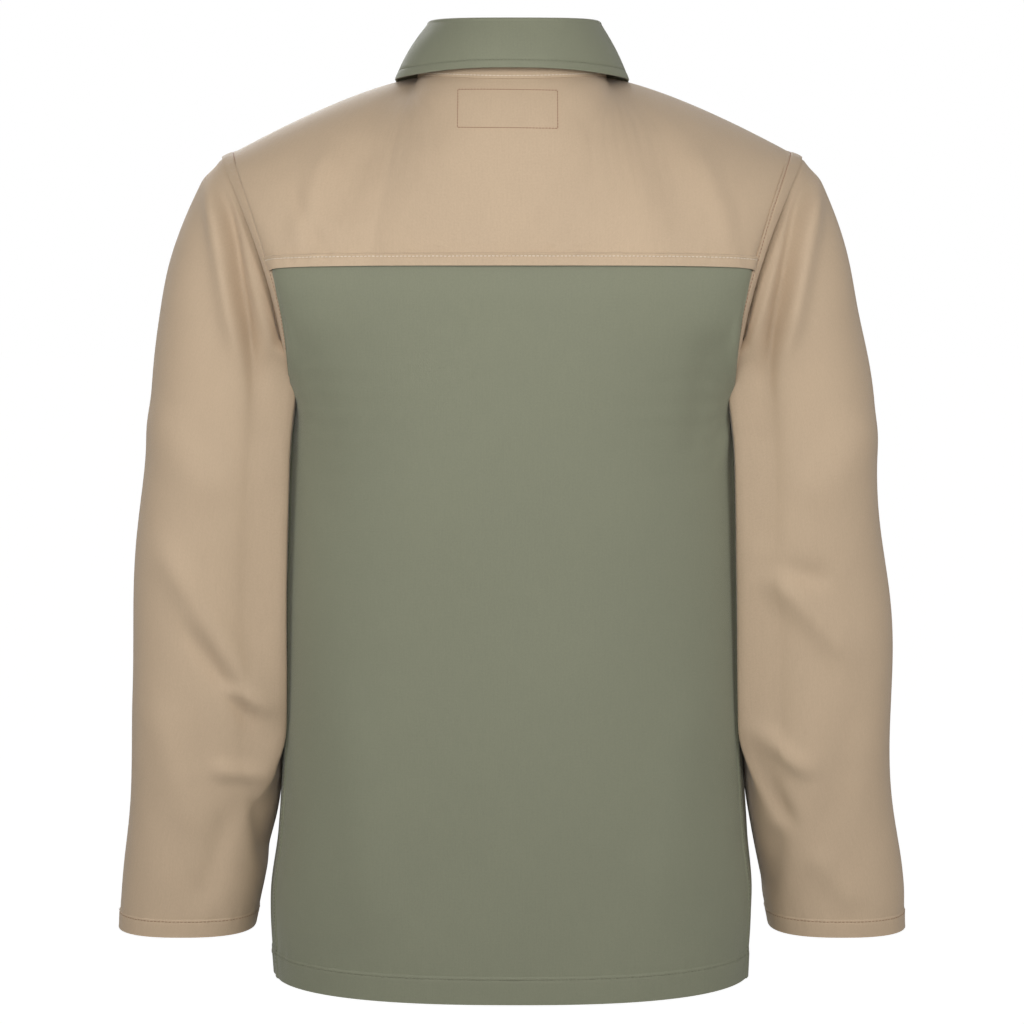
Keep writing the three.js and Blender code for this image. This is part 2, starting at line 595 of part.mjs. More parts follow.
// ---------------------------------------------------------------- assembly

addBackPanel();
addBackYoke();
addCollar();
addNeckLabel();
addHangerLoop();
for (const [name, side] of [['left', 1], ['right', -1]]) {
  addSidePanel(name, side);
  addFrontYoke(name, side);
  addArmholeBinding(name, side);
  addFront(name, side);
  addSleeve(name, side);
}
addZip();
jacket.position.z = -NECK_HEIGHT;

export default jacket;
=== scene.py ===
"""A two-colour beekeeping jacket seen from behind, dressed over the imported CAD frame.

Shapes are worked out in millimetres, with heights counted from the hem. row() turns them into the
row frame, in metres, whose origin is at the back of the neck.
"""

import math

import bpy
import numpy as np
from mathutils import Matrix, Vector
from mathutils.bvhtree import BVHTree


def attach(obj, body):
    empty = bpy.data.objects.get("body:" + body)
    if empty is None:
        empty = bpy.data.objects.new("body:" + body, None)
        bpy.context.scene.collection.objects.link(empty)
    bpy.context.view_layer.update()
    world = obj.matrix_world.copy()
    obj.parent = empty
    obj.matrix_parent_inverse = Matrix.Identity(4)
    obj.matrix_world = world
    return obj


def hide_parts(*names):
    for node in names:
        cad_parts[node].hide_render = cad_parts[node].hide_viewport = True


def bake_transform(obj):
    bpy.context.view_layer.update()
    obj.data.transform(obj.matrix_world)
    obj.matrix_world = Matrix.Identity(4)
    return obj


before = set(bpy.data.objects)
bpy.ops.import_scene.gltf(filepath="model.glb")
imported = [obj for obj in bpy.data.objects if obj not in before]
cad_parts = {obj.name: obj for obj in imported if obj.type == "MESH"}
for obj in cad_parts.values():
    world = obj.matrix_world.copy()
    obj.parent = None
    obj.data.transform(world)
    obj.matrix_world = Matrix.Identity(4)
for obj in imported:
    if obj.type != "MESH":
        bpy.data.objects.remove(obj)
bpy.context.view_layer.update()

PI = math.pi
NECK_HEIGHT = 750
CLOTH = 1.0              # thickness of a single layer
YOKE_SEAM = 592
SIDE_Y = -5
BACK_SEAM_Y = 30
FRONT_SEAM = (150, -103)
HEM_FRONT_Y = -148
NECK_FRONT_Y, NECK_FRONT_HEIGHT = -112, 668
BACK_ROUNDNESS = 2.4
FRONT_EDGE = 12          # x of the front's edge beside the zip
HEM_DEPTH, HEM_STITCH = 22, 20.5
CUFF_DEPTH, CUFF_STITCH = 15, 13.8
SIDES = {"left": 1, "right": -1}

# [height, half width] and [height, depth] of the body, then [x, height] down the sleeve's two edges
HALF_WIDTHS = [[0, 200.5], [70, 203.5], [120, 198], [220, 192.5], [330, 191], [440, 187.5], [487, 183.6]]
BACK_DEPTHS = [[0, 128], [150, 121], [320, 117], [460, 121], [594, 125]]
SLEEVE_OUTER = [[241, 686], [263, 650], [282, 602], [292, 548], [301, 486], [309, 402], [317, 318],
                [321, 238], [324.5, 150], [331, 86], [334.5, 36]]
SLEEVE_INNER = [[183, 494], [189, 478], [192, 455], [193.5, 424], [194.5, 384], [194.5, 330],
                [194.5, 272], [195.5, 208], [199.5, 148], [210, 86], [219.5, 36]]
# [share of the way down, depth] of the sleeve behind and in front of its middle
SLEEVE_BACK = [[0, 86], [0.3, 77], [0.6, 70], [1, 57]]
SLEEVE_FRONT = [[0, 74], [0.3, 71], [0.6, 66], [1, 56]]
ARMHOLE_SCOOP = 13       # how far the armhole curves in behind the shoulder
SLEEVE_CLEARANCE = 1.5   # between the sleeve's underarm side and the body it lies against
NECK_SEAM = dict(width=78, back=80, front=-112, heights=(746, 752, 668))
ROLL_LINE = dict(width=70.5, back=68, front=-101, heights=(792, 794, 699))
FALL_EDGE = dict(width=97, back=89, front=-146, heights=(754, 753, 590))
NECK_MIDDLE = -16


# ---------------- numbers and points

def vec(*parts):
    return np.stack(np.broadcast_arrays(*[np.asarray(q, float) for q in parts]), -1)


def mix(a, b, share):
    return a + (b - a) * share


def between(a, b, share):
    return a + (b - a) * np.asarray(share, float)[..., None]


def power(base, exponent):
    return np.maximum(base, 0) ** exponent


def smooth(t):
    t = np.clip(t, 0, 1)
    return t * t * (3 - 2 * t)


def unit(v):
    return v / np.maximum(np.linalg.norm(v, axis=-1, keepdims=True), 1e-9)


def row(points):
    """Millimetres above the hem to the row frame's metres."""
    return (np.asarray(points, float) - (0, 0, NECK_HEIGHT)) / 1000


def look_up(table, place):
    """Smooth curve through [place, value] points."""
    at, value = np.array(table, float).T
    slope = np.gradient(value)
    slope[1:-1] = (value[2:] - value[:-2]) / (at[2:] - at[:-2])
    slope[[0, -1]] = (value[1] - value[0]) / (at[1] - at[0]), (value[-1] - value[-2]) / (at[-1] - at[-2])
    place = np.clip(place, at[0], at[-1])
    i = np.clip(np.searchsorted(at, place, side="right") - 1, 0, len(at) - 2)
    span = at[i + 1] - at[i]
    t = (place - at[i]) / span
    a, b, m, n = value[i], value[i + 1], slope[i] * span, slope[i + 1] * span
    return a + t * (m + t * (3 * (b - a) - 2 * m - n + t * (2 * (a - b) + m + n)))


def turned(a, b, angle):
    return a * math.cos(angle) - b * math.sin(angle), a * math.sin(angle) + b * math.cos(angle)


def point_along(at, places, points):
    """Points in between those of a row, by distance along it."""
    return np.stack([np.interp(at, places, points[:, k]) for k in range(3)], -1)


def mirrored(u):
    """For a piece from side to side: how far u is from the middle, 0 to 1, and which half it is in."""
    return np.abs(2 * u - 1), vec(np.sign(2 * u - 1), 1, 1)


def solve(test, low, high, like):
    """Where a falling test crosses zero, by halving."""
    low, high = np.full(np.shape(like), float(low)), np.full(np.shape(like), float(high))
    for _ in range(30):
        middle = (low + high) / 2
        over = test(middle) > 0
        low, high = np.where(over, middle, low), np.where(over, high, middle)
    return (low + high) / 2


# ---------------- surfaces of the jacket

def armhole_loop(turn):
    """turn is 0 at the shoulder, a quarter turn at the back, half a turn under the arm."""
    reach = np.where(np.sin(turn) > 0, 86, 74)
    x = 212 + 29 * np.cos(turn) - ARMHOLE_SCOOP * power(np.sin(turn), 2)
    return vec(x, SIDE_Y + reach * np.sin(turn), 590 + 96 * np.cos(turn))


def binding_edge(turn):
    """Body-side edge of the felled strip round the armhole."""
    turn = np.asarray(turn, float)
    across = np.where((np.cos(turn) > 0)[..., None], (-0.93, 0, 0.37), (0.1, 0, -1))
    around = np.where((np.sin(turn) > 0)[..., None], (-0.5, 0.87, 0), (-0.5, -0.87, 0))
    way = unit(across * np.abs(np.cos(turn))[..., None] + around * np.abs(np.sin(turn))[..., None])
    low_back = smooth(np.sin(turn)) * smooth((0.25 - np.cos(turn)) / 0.5)
    return armhole_loop(turn) + way * (9 + 2.5 * np.cos(turn) + 5.5 * low_back)[..., None]


UNDERARM_HEIGHT = binding_edge(PI)[2]
BACK_SEAM_TURN = float(solve(lambda t: binding_edge(t)[..., 1] - BACK_SEAM_Y, PI / 2, PI, 0.0))


def trace_side(height, back):
    """Where level cuts through the body meet its side: the armhole strip, or the body's side below it."""
    level = np.clip(height, UNDERARM_HEIGHT, binding_edge(PI / 2 if back else 1.5 * PI)[2])
    if back:
        turn = solve(lambda t: binding_edge(t)[..., 2] - level, PI / 2, PI, height)
    else:
        turn = solve(lambda t: level - binding_edge(t)[..., 2], PI, 1.5 * PI, height)
    below = vec(look_up(HALF_WIDTHS, height), SIDE_Y, height)
    return np.where((height <= UNDERARM_HEIGHT)[..., None], below, binding_edge(turn))


LEVELS = np.linspace(0, 700, 1401)
SIDE_EDGES = {back: trace_side(LEVELS, back) for back in (True, False)}


def side_edge(height, back):
    return point_along(height, LEVELS, SIDE_EDGES[back])


def level_cut(edge, centre, angle, n, height):
    """Round a level cut of the body: angle is 0 at the centre line and a quarter turn at the side."""
    return vec(edge[..., 0] * power(np.sin(angle), 2 / n),
               edge[..., 1] + (centre - edge[..., 1]) * power(np.cos(angle), 2 / n), height)


def back_at(share, height):
    centre = look_up(BACK_DEPTHS, height)
    return level_cut(side_edge(height, True), centre, np.asarray(share) * PI / 2, BACK_ROUNDNESS, height)


def back_seam_share(height):
    edge = side_edge(height, True)
    depth = look_up(BACK_DEPTHS, height) - edge[..., 1]
    rise = np.maximum(BACK_SEAM_Y - edge[..., 1], 0) / depth
    return np.arccos(rise ** (BACK_ROUNDNESS / 2)) / (PI / 2)


def centre_front(height):
    return mix(HEM_FRONT_Y, NECK_FRONT_Y, np.asarray(height) / NECK_FRONT_HEIGHT)


def trace_roundness():
    """How square each level cut of the front is, so that all of them meet the upright front seam."""
    edge = side_edge(LEVELS, False)
    across = FRONT_SEAM[0] / edge[..., 0]
    along = (FRONT_SEAM[1] - edge[..., 1]) / (centre_front(LEVELS) - edge[..., 1])
    return solve(lambda n: across ** n + along ** n - 1, 1, 9, across)


ROUNDNESS = trace_roundness()


def front_cut(height):
    return side_edge(height, False), centre_front(height), np.interp(height, LEVELS, ROUNDNESS)


def front_at(x, height):
    edge, centre, n = front_cut(height)
    bow = power(1 - (x / edge[..., 0]) ** n, 1 / n)
    return vec(x, edge[..., 1] + (centre - edge[..., 1]) * bow, height)


def front_side_at(share, height):
    edge, centre, n = front_cut(height)
    angle = mix(np.arcsin((FRONT_SEAM[0] / edge[..., 0]) ** (n / 2)), PI / 2, share)
    return level_cut(edge, centre, angle, n, height)


def neck_ring(angle, width, back, front, heights):
    """angle is 0 at centre back and half a turn at centre front."""
    c = np.cos(angle)
    reach = np.where(c > 0, (back - NECK_MIDDLE) * power(c, 0.8), (NECK_MIDDLE - front) * c)
    fall = np.where(c > 0, heights[0], heights[2])
    return vec(width * power(np.sin(angle), 0.9), NECK_MIDDLE + reach, mix(heights[1], fall, c * c))


def neck_angle(x, width):
    """Where a neck ring comes to x in front."""
    return PI - math.asin((x / width) ** (1 / 0.9))


COLLAR_END = neck_angle(10, NECK_SEAM["width"])
FALL_END = neck_angle(58, FALL_EDGE["width"])


def shoulder_at(share):
    start, end = neck_ring(PI / 2, **NECK_SEAM), binding_edge(0)
    level = between(start, end, share)
    return vec(level[..., 0], level[..., 1], mix(start[2], end[2], np.asarray(share) ** 1.35))


NECK_PART = 0.36


def yoke_at(across, down, back, centre_x=0):
    """A yoke runs from the centre to the armhole, and from the neck and shoulder down to its seam."""
    last = 0 if back else neck_angle(centre_x, NECK_SEAM["width"])
    across, down = np.broadcast_arrays(np.asarray(across, float), down)
    on_neck = neck_ring(mix(last, PI / 2, np.minimum(across / NECK_PART, 1)), **NECK_SEAM)
    on_shoulder = shoulder_at(np.clip((across - NECK_PART) / (1 - NECK_PART), 0, 1))
    top = np.where((across < NECK_PART)[..., None], on_neck, on_shoulder)
    level = np.full(across.shape, float(YOKE_SEAM))
    if back:
        bottom = back_at(across, level)
    else:
        bottom = front_at(mix(centre_x, side_edge(YOKE_SEAM, False)[0] * 0.9999, across), level)
    turn = down * PI / 2
    fullness = mix(0.5, 1, across)
    drop, out = mix(down, 1 - np.cos(turn), fullness), mix(down, np.sin(turn), fullness)
    share = np.stack((drop, out, drop), -1)
    rib = top + (bottom - top) * share
    edge = binding_edge(turn if back else 2 * PI - turn)
    return between(rib, edge, power((across - 0.8) / 0.2, 3))


def side_panel_at(u, v):
    """From the front seam round the side to the back seam, and up to the yoke seam and armhole."""
    seam_part, front_part = 0.4, 0.78
    u, v = np.broadcast_arrays(np.asarray(u, float), v)
    behind = (u > front_part)[..., None]
    reach = power((v - 0.8) / 0.2, 2)

    rear = np.clip((u - front_part) / (1 - front_part), 0, 1)
    rear_top = binding_edge(mix(PI, BACK_SEAM_TURN, rear))
    height = v * rear_top[..., 2]
    on_back = between(back_at(mix(1, back_seam_share(height), rear), height), rear_top, reach)

    round_arm = np.clip((u - seam_part) / (front_part - seam_part), 0, 1)
    arm_top = binding_edge(mix(1.5 * PI, PI, round_arm))
    yoke_top = front_side_at(np.clip(u / seam_part, 0, 1), np.full(u.shape, YOKE_SEAM + 3.0))
    fore_top = np.where((u < seam_part)[..., None], yoke_top, arm_top)
    height = v * fore_top[..., 2]
    share = mix(np.minimum(u / front_part, 1), np.minimum(u / seam_part, 1), v ** 4)
    fore = front_side_at(share, height)
    on_front = between(fore, fore_top, np.where(u < seam_part, 0, reach))
    return np.where(behind, on_back, on_front)


def resting(turn_share, share):
    """How far the sleeve's underarm side is pressed flat against the body, 0 to 1."""
    turn_share = np.asarray(turn_share)
    around = smooth((turn_share - 0.33) / 0.035) * smooth((0.56 - turn_share) / 0.08)
    return around * smooth((share + 0.02) / 0.06) * smooth((0.84 - share) / 0.14)


def sleeve_edge(table, share):
    """One edge of the sleeve, its points evenly spaced from 0 to 1."""
    place = np.asarray(share) * (len(table) - 1)
    x, height = [look_up(list(enumerate(column)), place) for column in zip(*table)]
    return vec(x, 0, height)


def sleeve_at(turn_share, share):
    turn = np.asarray(turn_share) * 2 * PI
    outer, inner = sleeve_edge(SLEEVE_OUTER, share), sleeve_edge(SLEEVE_INNER, share)
    depth = np.where(np.sin(turn) > 0, look_up(SLEEVE_BACK, share), look_up(SLEEVE_FRONT, share))
    middle = (outer + inner) / 2 + vec(0, mix(SIDE_Y, -14, share), 0)
    squareness = mix(1, 0.8, smooth(share / 0.2))
    wide, deep = [np.sign(q) * power(np.abs(q), squareness) for q in (np.cos(turn), np.sin(turn))]
    p = middle + (outer - inner) / 2 * wide[..., None] + vec(0, depth * deep, 0)
    scoop = ARMHOLE_SCOOP * power(np.sin(turn), 2) * (1 - smooth(share / 0.22))
    x = p[..., 0] - scoop
    round_back = np.clip(p[..., 1] - 27, 0, mix(17, 11.5, smooth(share / 0.3)))
    body = look_up(HALF_WIDTHS, p[..., 2]) + SLEEVE_CLEARANCE - 0.55 * round_back
    return vec(mix(x, body, resting(turn_share, share)), p[..., 1], p[..., 2])


# ---------------- folds

def fold(p, start, end, width, height):
    """Height of a fold whose crest runs between two (x, height) points, fading out at both ends."""
    a, b = np.array(start, float), np.array(end, float)
    along = b - a
    length = np.hypot(*along)
    rel = p[..., [0, 2]] - a
    t = (rel @ along) / length ** 2
    off = (rel[..., 0] * along[1] - rel[..., 1] * along[0]) / length
    ends = smooth(t / 0.35 + 0.3) * smooth((1 - t) / 0.35 + 0.3)
    return height * np.exp(-(off / width) ** 2) * ends


def folds(p, table):
    return sum(fold(p, *entry) for entry in table)


def ripples(p, size, height, seed):
    """Slack of the cloth: a few long waves in random directions."""
    rng = np.random.default_rng(seed)
    total = 0
    for _ in range(6):
        way = rng.normal(size=3) * (1, 1, 0.6)
        total = total + np.sin(p @ (way / np.linalg.norm(way)) * 2 * PI / size / rng.uniform(0.6, 1.5)
                               + rng.uniform(0, 2 * PI))
    return height * total / 3


def puckers(place, seed, pitch=9.0):
    """Small unevenness that a row of stitches pulls into cloth, by distance along the row."""
    rng = np.random.default_rng(seed)
    waves = [np.sin(place * 2 * PI / (pitch * f) + rng.uniform(0, 6)) for f in (0.7, 1, 1.7, 2.9)]
    return sum(waves) / 4


def band(distance, depth, height, edge=0.8):
    """A hem or felled strip: doubled cloth from an edge inwards, with a soft step at its end."""
    return height * smooth((depth - distance) / edge + 0.5)


def groove(distance, place, depth=0.35, width=1.2):
    """Dent along a row of stitches."""
    return -depth * np.exp(-((distance - place) / width) ** 2)


# ---------------- cloth meshes

class Skin:
    """A side of the cloth: at(u, v) is the smooth shape and relief(p, u, v) what stands out from it."""

    def __init__(self, at, inside, side=1, relief=None):
        self.at, self.side, self.relief = at, side, relief
        u, v = np.meshgrid(np.linspace(0.05, 0.95, 9), np.linspace(0.05, 0.95, 9))
        self.hand = 1
        p, n = self.frame(u, v)
        self.hand = 1 if np.sum(unit(p - inside) * n) > 0 else -1

    def base(self, u, v):
        return self.at(np.clip(u, 0, 1), np.clip(v, 0, 1)) * (self.side, 1, 1)

    def frame(self, u, v, e=0.004):
        u, v = np.broadcast_arrays(np.asarray(u, float), v)
        along = self.base(np.minimum(u + e, 1), v) - self.base(np.maximum(u - e, 0), v)
        up = self.base(u, np.minimum(v + e, 1)) - self.base(u, np.maximum(v - e, 0))
        return self.base(u, v), unit(np.cross(along, up)) * self.hand

    def place(self, u, v, lift=0.0):
        p, n = self.frame(u, v)
        high = lift if self.relief is None else lift + self.relief(p, u, v)
        return p + n * np.asarray(high)[..., None]


def add_object(name, data):
    obj = bpy.data.objects.new(name, data)
    bpy.context.scene.collection.objects.link(obj)
    return obj


def link(name, points, faces, uvs=None):
    mesh = bpy.data.meshes.new(name)
    mesh.from_pydata(row(points).tolist(), [], faces)
    if uvs is not None:
        layer = mesh.uv_layers.new(name="Cloth")
        layer.data.foreach_set("uv", np.asarray(uvs, np.float32).ravel())
    mesh.shade_smooth()
    return add_object(name, mesh)


def tube(rings, sides, base=0, step=1):
    """Faces of a closed stack of rings, where corner c of ring r is point base + (r * sides + c) * step."""
    def corner(r, c):
        return base + (r * sides + c % sides) * step

    faces = [[corner(r, c), corner(r, c + 1), corner(r + 1, c + 1), corner(r + 1, c)]
             for r in range(rings - 1) for c in range(sides)]
    faces.append([corner(0, c) for c in reversed(range(sides))])
    faces.append([corner(rings - 1, c) for c in range(sides)])
    return faces


def knots(count, *dense):
    """Even steps from 0 to 1, and finer (low, high, steps) stretches where a seam needs them."""
    stretches = [np.linspace(0, 1, count + 1)] + [np.linspace(a, b, n + 1) for a, b, n in dense]
    places = np.unique(np.concatenate(stretches))
    return places[np.concatenate(([True], np.diff(places) > 1e-4))]


def shell(name, skin, across, down, thick=CLOTH, start=0.0, wrapped=False, trim=None):
    """One closed piece of cloth over a skin, with the cloth's own length and width as its UV map."""
    u_places, v_places = [knots(n) if isinstance(n, int) else n for n in (across, down)]
    columns, rows = len(u_places) - 1, len(v_places) - 1
    u, v = np.meshgrid(u_places, v_places)
    if trim:
        u, v = trim(u, v)
    layers = [skin.place(u, v, start), skin.place(u, v, start - thick)]
    width = np.linalg.norm(np.diff(layers[0], axis=1), axis=-1).cumsum(axis=1)
    width = np.pad(width, ((0, 0), (1, 0)))
    width -= width[:, [columns // 2]]
    length = np.pad(np.linalg.norm(np.diff(layers[0], axis=0), axis=-1).cumsum(axis=0), ((1, 0), (0, 0)))
    flat = np.stack((width, length), -1) / 1000

    count = columns if wrapped else columns + 1
    points = np.concatenate([layer[:, :count].reshape(-1, 3) for layer in layers])
    i, j = [g.ravel() for g in np.meshgrid(np.arange(rows), np.arange(columns), indexing="ij")]
    corners = [[(0, i, j), (0, i, j + 1), (0, i + 1, j + 1), (0, i + 1, j)],
               [(1, i + 1, j), (1, i + 1, j + 1), (1, i, j + 1), (1, i, j)]]
    j = np.arange(columns)
    low, high = np.zeros_like(j), np.full_like(j, rows)
    corners.append([(1, low, j), (1, low, j + 1), (0, low, j + 1), (0, low, j)])
    corners.append([(0, high, j), (0, high, j + 1), (1, high, j + 1), (1, high, j)])
    if not wrapped:
        i = np.arange(rows)
        low, high = np.zeros_like(i), np.full_like(i, columns)
        corners.append([(0, i, low), (0, i + 1, low), (1, i + 1, low), (1, i, low)])
        corners.append([(1, i, high), (1, i + 1, high), (0, i + 1, high), (0, i, high)])
    faces, uvs = [], []
    for quad in corners:
        if skin.hand * skin.side < 0:
            quad = quad[::-1]
        faces.append(np.stack([(layer * (rows + 1) + i) * count + j % count for layer, i, j in quad], -1))
        uvs.append(np.stack([flat[i, j] for _, i, j in quad], 1))
    obj = link(name, points, np.concatenate(faces).tolist(), np.concatenate(uvs))
    obj.data.set_sharp_from_angle(angle=math.radians(60))
    return obj


def stitch_row(skin, u, v):
    """Points and normals along a line of (u, v) places on a skin."""
    _, normal = skin.frame(u, v)
    return skin.place(u, v), normal


def seam_line(skin, u, v, count=160):
    """Stitch line across a skin: u and v are each one place, or (from, to)."""
    u, v = [np.linspace(*np.broadcast_to(np.asarray(place, float), 2), count) for place in (u, v)]
    return stitch_row(skin, u, v)


THREAD = 0.31


def stitches(name, rows, pitch=3.2, length=2.5):
    """Thread lying in rows of separate stitches, each dipping into the cloth at its ends."""
    ring = np.arange(6) * PI / 3
    rings = [(-0.5, 0.35, -0.3), (-0.3, 1, 0.0), (0.3, 1, 0.0), (0.5, 0.35, -0.3)]
    points, faces, base = [], [], 0
    for line, normal in rows:
        place = np.concatenate(([0], np.linalg.norm(np.diff(line, axis=0), axis=-1).cumsum()))
        count = max(int(place[-1] / pitch), 1)
        at = (np.arange(count) + 0.5) * place[-1] / count
        middle, up = point_along(at, place, line), unit(point_along(at, place, normal))
        way = unit(point_along(at + 0.4, place, line) - point_along(at - 0.4, place, line))
        side = unit(np.cross(way, up))
        for s, r, dip in rings:
            centre = middle + way * s * length + up * (THREAD * 0.55 + dip)
            for a in ring:
                points.append(centre + (side * math.cos(a) + up * math.sin(a)) * THREAD * r)
        for k in range(count):
            faces += tube(len(rings), len(ring), base + k, count)
        base += len(rings) * len(ring) * count
    return link(name, np.concatenate(points), faces)


# ---------------- finishes

class Paint:
    """A procedural material, built up node by node."""

    def __init__(self, name):
        self.material = bpy.data.materials.new(name)
        self.material.use_nodes = True
        self.tree = self.material.node_tree
        self.surface = self.tree.nodes["Principled BSDF"]

    def add(self, kind, inputs=None, **settings):
        node = self.tree.nodes.new(kind)
        for key, value in settings.items():
            setattr(node, key, value)
        for key, value in (inputs or {}).items():
            self.plug(node.inputs[key], value)
        return node

    def plug(self, socket, value):
        if isinstance(value, bpy.types.NodeSocket):
            self.tree.links.new(value, socket)
        else:
            socket.default_value = value

    def set(self, **inputs):
        for key, value in inputs.items():
            self.plug(self.surface.inputs[key.replace("_", " ")], value)

    def plus(self, a, b):
        return self.add("ShaderNodeMath", {0: a, 1: b}, operation="ADD").outputs[0]

    def times(self, a, b):
        return self.add("ShaderNodeMath", {0: a, 1: b}, operation="MULTIPLY").outputs[0]

    def weighted(self, *pairs):
        """Sum of sockets, each times its weight."""
        total, *rest = [self.times(socket, weight) for socket, weight in pairs]
        for part in rest:
            total = self.plus(total, part)
        return total

    def blend(self, share, a, b):
        return self.add("ShaderNodeMix", {0: share, 6: a, 7: b}, data_type="RGBA").outputs[2]

    def shades(self, share, colour, low, high):
        """Between two strengths of one colour."""
        return self.blend(share, linear(colour, low), linear(colour, high))

    def where(self, scale=(1, 1, 1), kind="UV"):
        place = self.add("ShaderNodeTexCoord").outputs[kind]
        return self.add("ShaderNodeMapping", {"Vector": place, "Scale": scale}).outputs[0]

    def noise(self, scale, stretch=(1, 1, 1), detail=3.0, kind="UV"):
        return self.add("ShaderNodeTexNoise", {"Vector": self.where(stretch, kind), "Scale": scale,
                                               "Detail": detail}).outputs["Fac"]

    def waves(self, scale, stretch=(1, 1, 1), direction="DIAGONAL", kind="UV"):
        return self.add("ShaderNodeTexWave", {"Vector": self.where(stretch, kind), "Scale": scale,
                                              "Distortion": 0.6, "Detail": 1.0},
                        bands_direction=direction).outputs["Fac"]

    def bump(self, height, distance, strength=1.0, below=None):
        inputs = {"Height": height, "Distance": distance, "Strength": strength}
        if below is not None:
            inputs["Normal"] = below
        return self.add("ShaderNodeBump", inputs).outputs[0]


def linear(code, gain=1.0):
    parts = [int(code[i:i + 2], 16) / 255 for i in (1, 3, 5)]
    return [gain * (c / 12.92 if c < 0.04045 else ((c + 0.055) / 1.055) ** 2.4) for c in parts] + [1]


def twill(name, colour, wear):
    """Cotton twill: steep diagonal ribs, uneven yarns, slow mottling and a little wear."""
    paint = Paint(name)
    ribs = paint.waves(900, (1.7, 1, 1))
    yarns = paint.noise(900, (1, 0.06, 1), 2.0)
    picks = paint.noise(900, (0.08, 1, 1), 2.0)
    grain = paint.noise(620)
    blotch = paint.noise(14, detail=5.0)
    slow = paint.noise(3.2, detail=2.0)
    shade = paint.weighted((blotch, 0.2), (slow, 0.2), (yarns, 0.2), (grain, 0.4))
    tone = paint.shades(shade, colour, 0.76, 1.2)
    tone = paint.blend(paint.times(ribs, 0.16), tone, linear(colour, 0.6))
    worn = paint.times(paint.noise(60, detail=6.0), wear)
    paint.set(Base_Color=paint.blend(worn, tone, linear(colour, 1.35)))
    paint.set(Roughness=paint.plus(0.56, paint.times(blotch, 0.25)))
    paint.set(Sheen_Weight=0.16, Sheen_Roughness=0.4, Specular_IOR_Level=0.4)
    weave = paint.bump(ribs, 0.00010, 0.5)
    weave = paint.bump(paint.plus(yarns, picks), 0.00012, 0.6, weave)
    paint.set(Normal=paint.bump(blotch, 0.0016, 0.35, weave))
    return paint.material


def thread(name, colour):
    """Twisted sewing thread."""
    paint = Paint(name)
    twist = paint.waves(1800, kind="Object")
    paint.set(Base_Color=paint.shades(twist, colour, 0.75, 1.1))
    paint.set(Roughness=paint.plus(0.45, paint.times(twist, 0.2)))
    paint.set(Sheen_Weight=0.1, Normal=paint.bump(twist, 0.00008, 0.5))
    return paint.material


def metal(name, colour, rough):
    """Nickel-plated metal, a little brushed and dulled by handling."""
    paint = Paint(name)
    grain = paint.noise(900, (1, 1, 0.05), kind="Object")
    smudge = paint.noise(160, detail=5.0, kind="Object")
    paint.set(Base_Color=paint.shades(smudge, colour, 0.7, 1.1), Metallic=1.0)
    paint.set(Roughness=paint.plus(rough, paint.times(paint.plus(grain, smudge), 0.16)))
    paint.set(Normal=paint.bump(grain, 0.00003, 0.4))
    return paint.material


def ribbon(name, colour, ribs):
    """Narrow woven tape with cross ribs and a denser edge."""
    paint = Paint(name)
    cross = paint.waves(ribs, direction="Y")
    warp = paint.waves(ribs * 1.3, direction="X")
    mottle = paint.noise(70, detail=4.0)
    tone = paint.shades(mottle, colour, 0.8, 1.15)
    paint.set(Base_Color=paint.blend(paint.times(cross, 0.3), tone, linear(colour, 0.55)))
    paint.set(Roughness=paint.plus(0.6, paint.times(mottle, 0.25)), Sheen_Weight=0.1)
    paint.set(Normal=paint.bump(paint.times(cross, warp), 0.00015, 0.6))
    return paint.material


BEIGE, GREEN = "#bea78c", "#7f816c"
FINISHES = {
    "beige_twill": twill("Beige twill", BEIGE, 0.10),
    "green_twill": twill("Green twill", GREEN, 0.08),
    "zip_tape": ribbon("Zip tape", "#6b6c58", 420),
    "zip_metal": metal("Zip metal", "#b8b3a6", 0.22),
    "stud_metal": metal("Stud metal", "#a9a498", 0.26),
    "label_cloth": ribbon("Label satin", "#d9d2c2", 700),
    "loop_tape": ribbon("Loop tape", "#8d7c62", 420),
}
THREAD_COLOURS = {"pale": "#e2d8c6", "brown": "#9a7a5c", "rust": "#8e5f45", "sage": "#74755f"}
THREADS = {name: thread(f"{name.title()} thread", code) for name, code in THREAD_COLOURS.items()}


# ---------------- putting pieces on the frame

def side_of(obj):
    """left or right: a piece of one side has it as the first word of its name."""
    return obj.name.split("_")[0]


def on_torso(obj):
    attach(obj, "torso")


def on_loop(obj):
    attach(obj, "loop")


def on_flap(obj):
    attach(obj, f"{side_of(obj)}_flap")


def on_front(obj):
    """For a piece of the front, which swings while its top stays sewn to the yoke and neck: bakes its
    placement into its mesh and attaches it to no moving part.
    """
    name = side_of(obj)
    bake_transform(obj)


def on_sleeve(obj):
    """For a piece of the sleeve, which stays sewn to the armhole and follows the arm further down: bakes its
    placement into its mesh and attaches it to no moving part.
    """
    name = side_of(obj)
    start = Vector((0.212, -0.005, -0.160))
    end = start + Vector((0.957, 0, -0.289)) * 0.115
    for point in (start, end):
        point.x *= SIDES[name]
    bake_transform(obj)


def paint(obj, material, slot=None):
    obj.data.materials.append(material)


def cloth_piece(name, node, slot, place, trims, skin, across, down, held="hung", rests_on=(), **form):
    """A piece of cloth: builds its mesh, with its flat cut as the UV map, gives it its material, hides the
    CAD solid it stands for and hands it to place.
    """
    obj = shell(name, skin, across, down, **form)
    paint(obj, FINISHES[slot], slot)
    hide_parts(node)
    place(obj)
    return obj


def sewn(name, rows, colour, place, **spacing):
    obj = stitches(name, rows, **spacing)
    paint(obj, THREADS[colour])
    place(obj)
    return obj


# ---------------- body

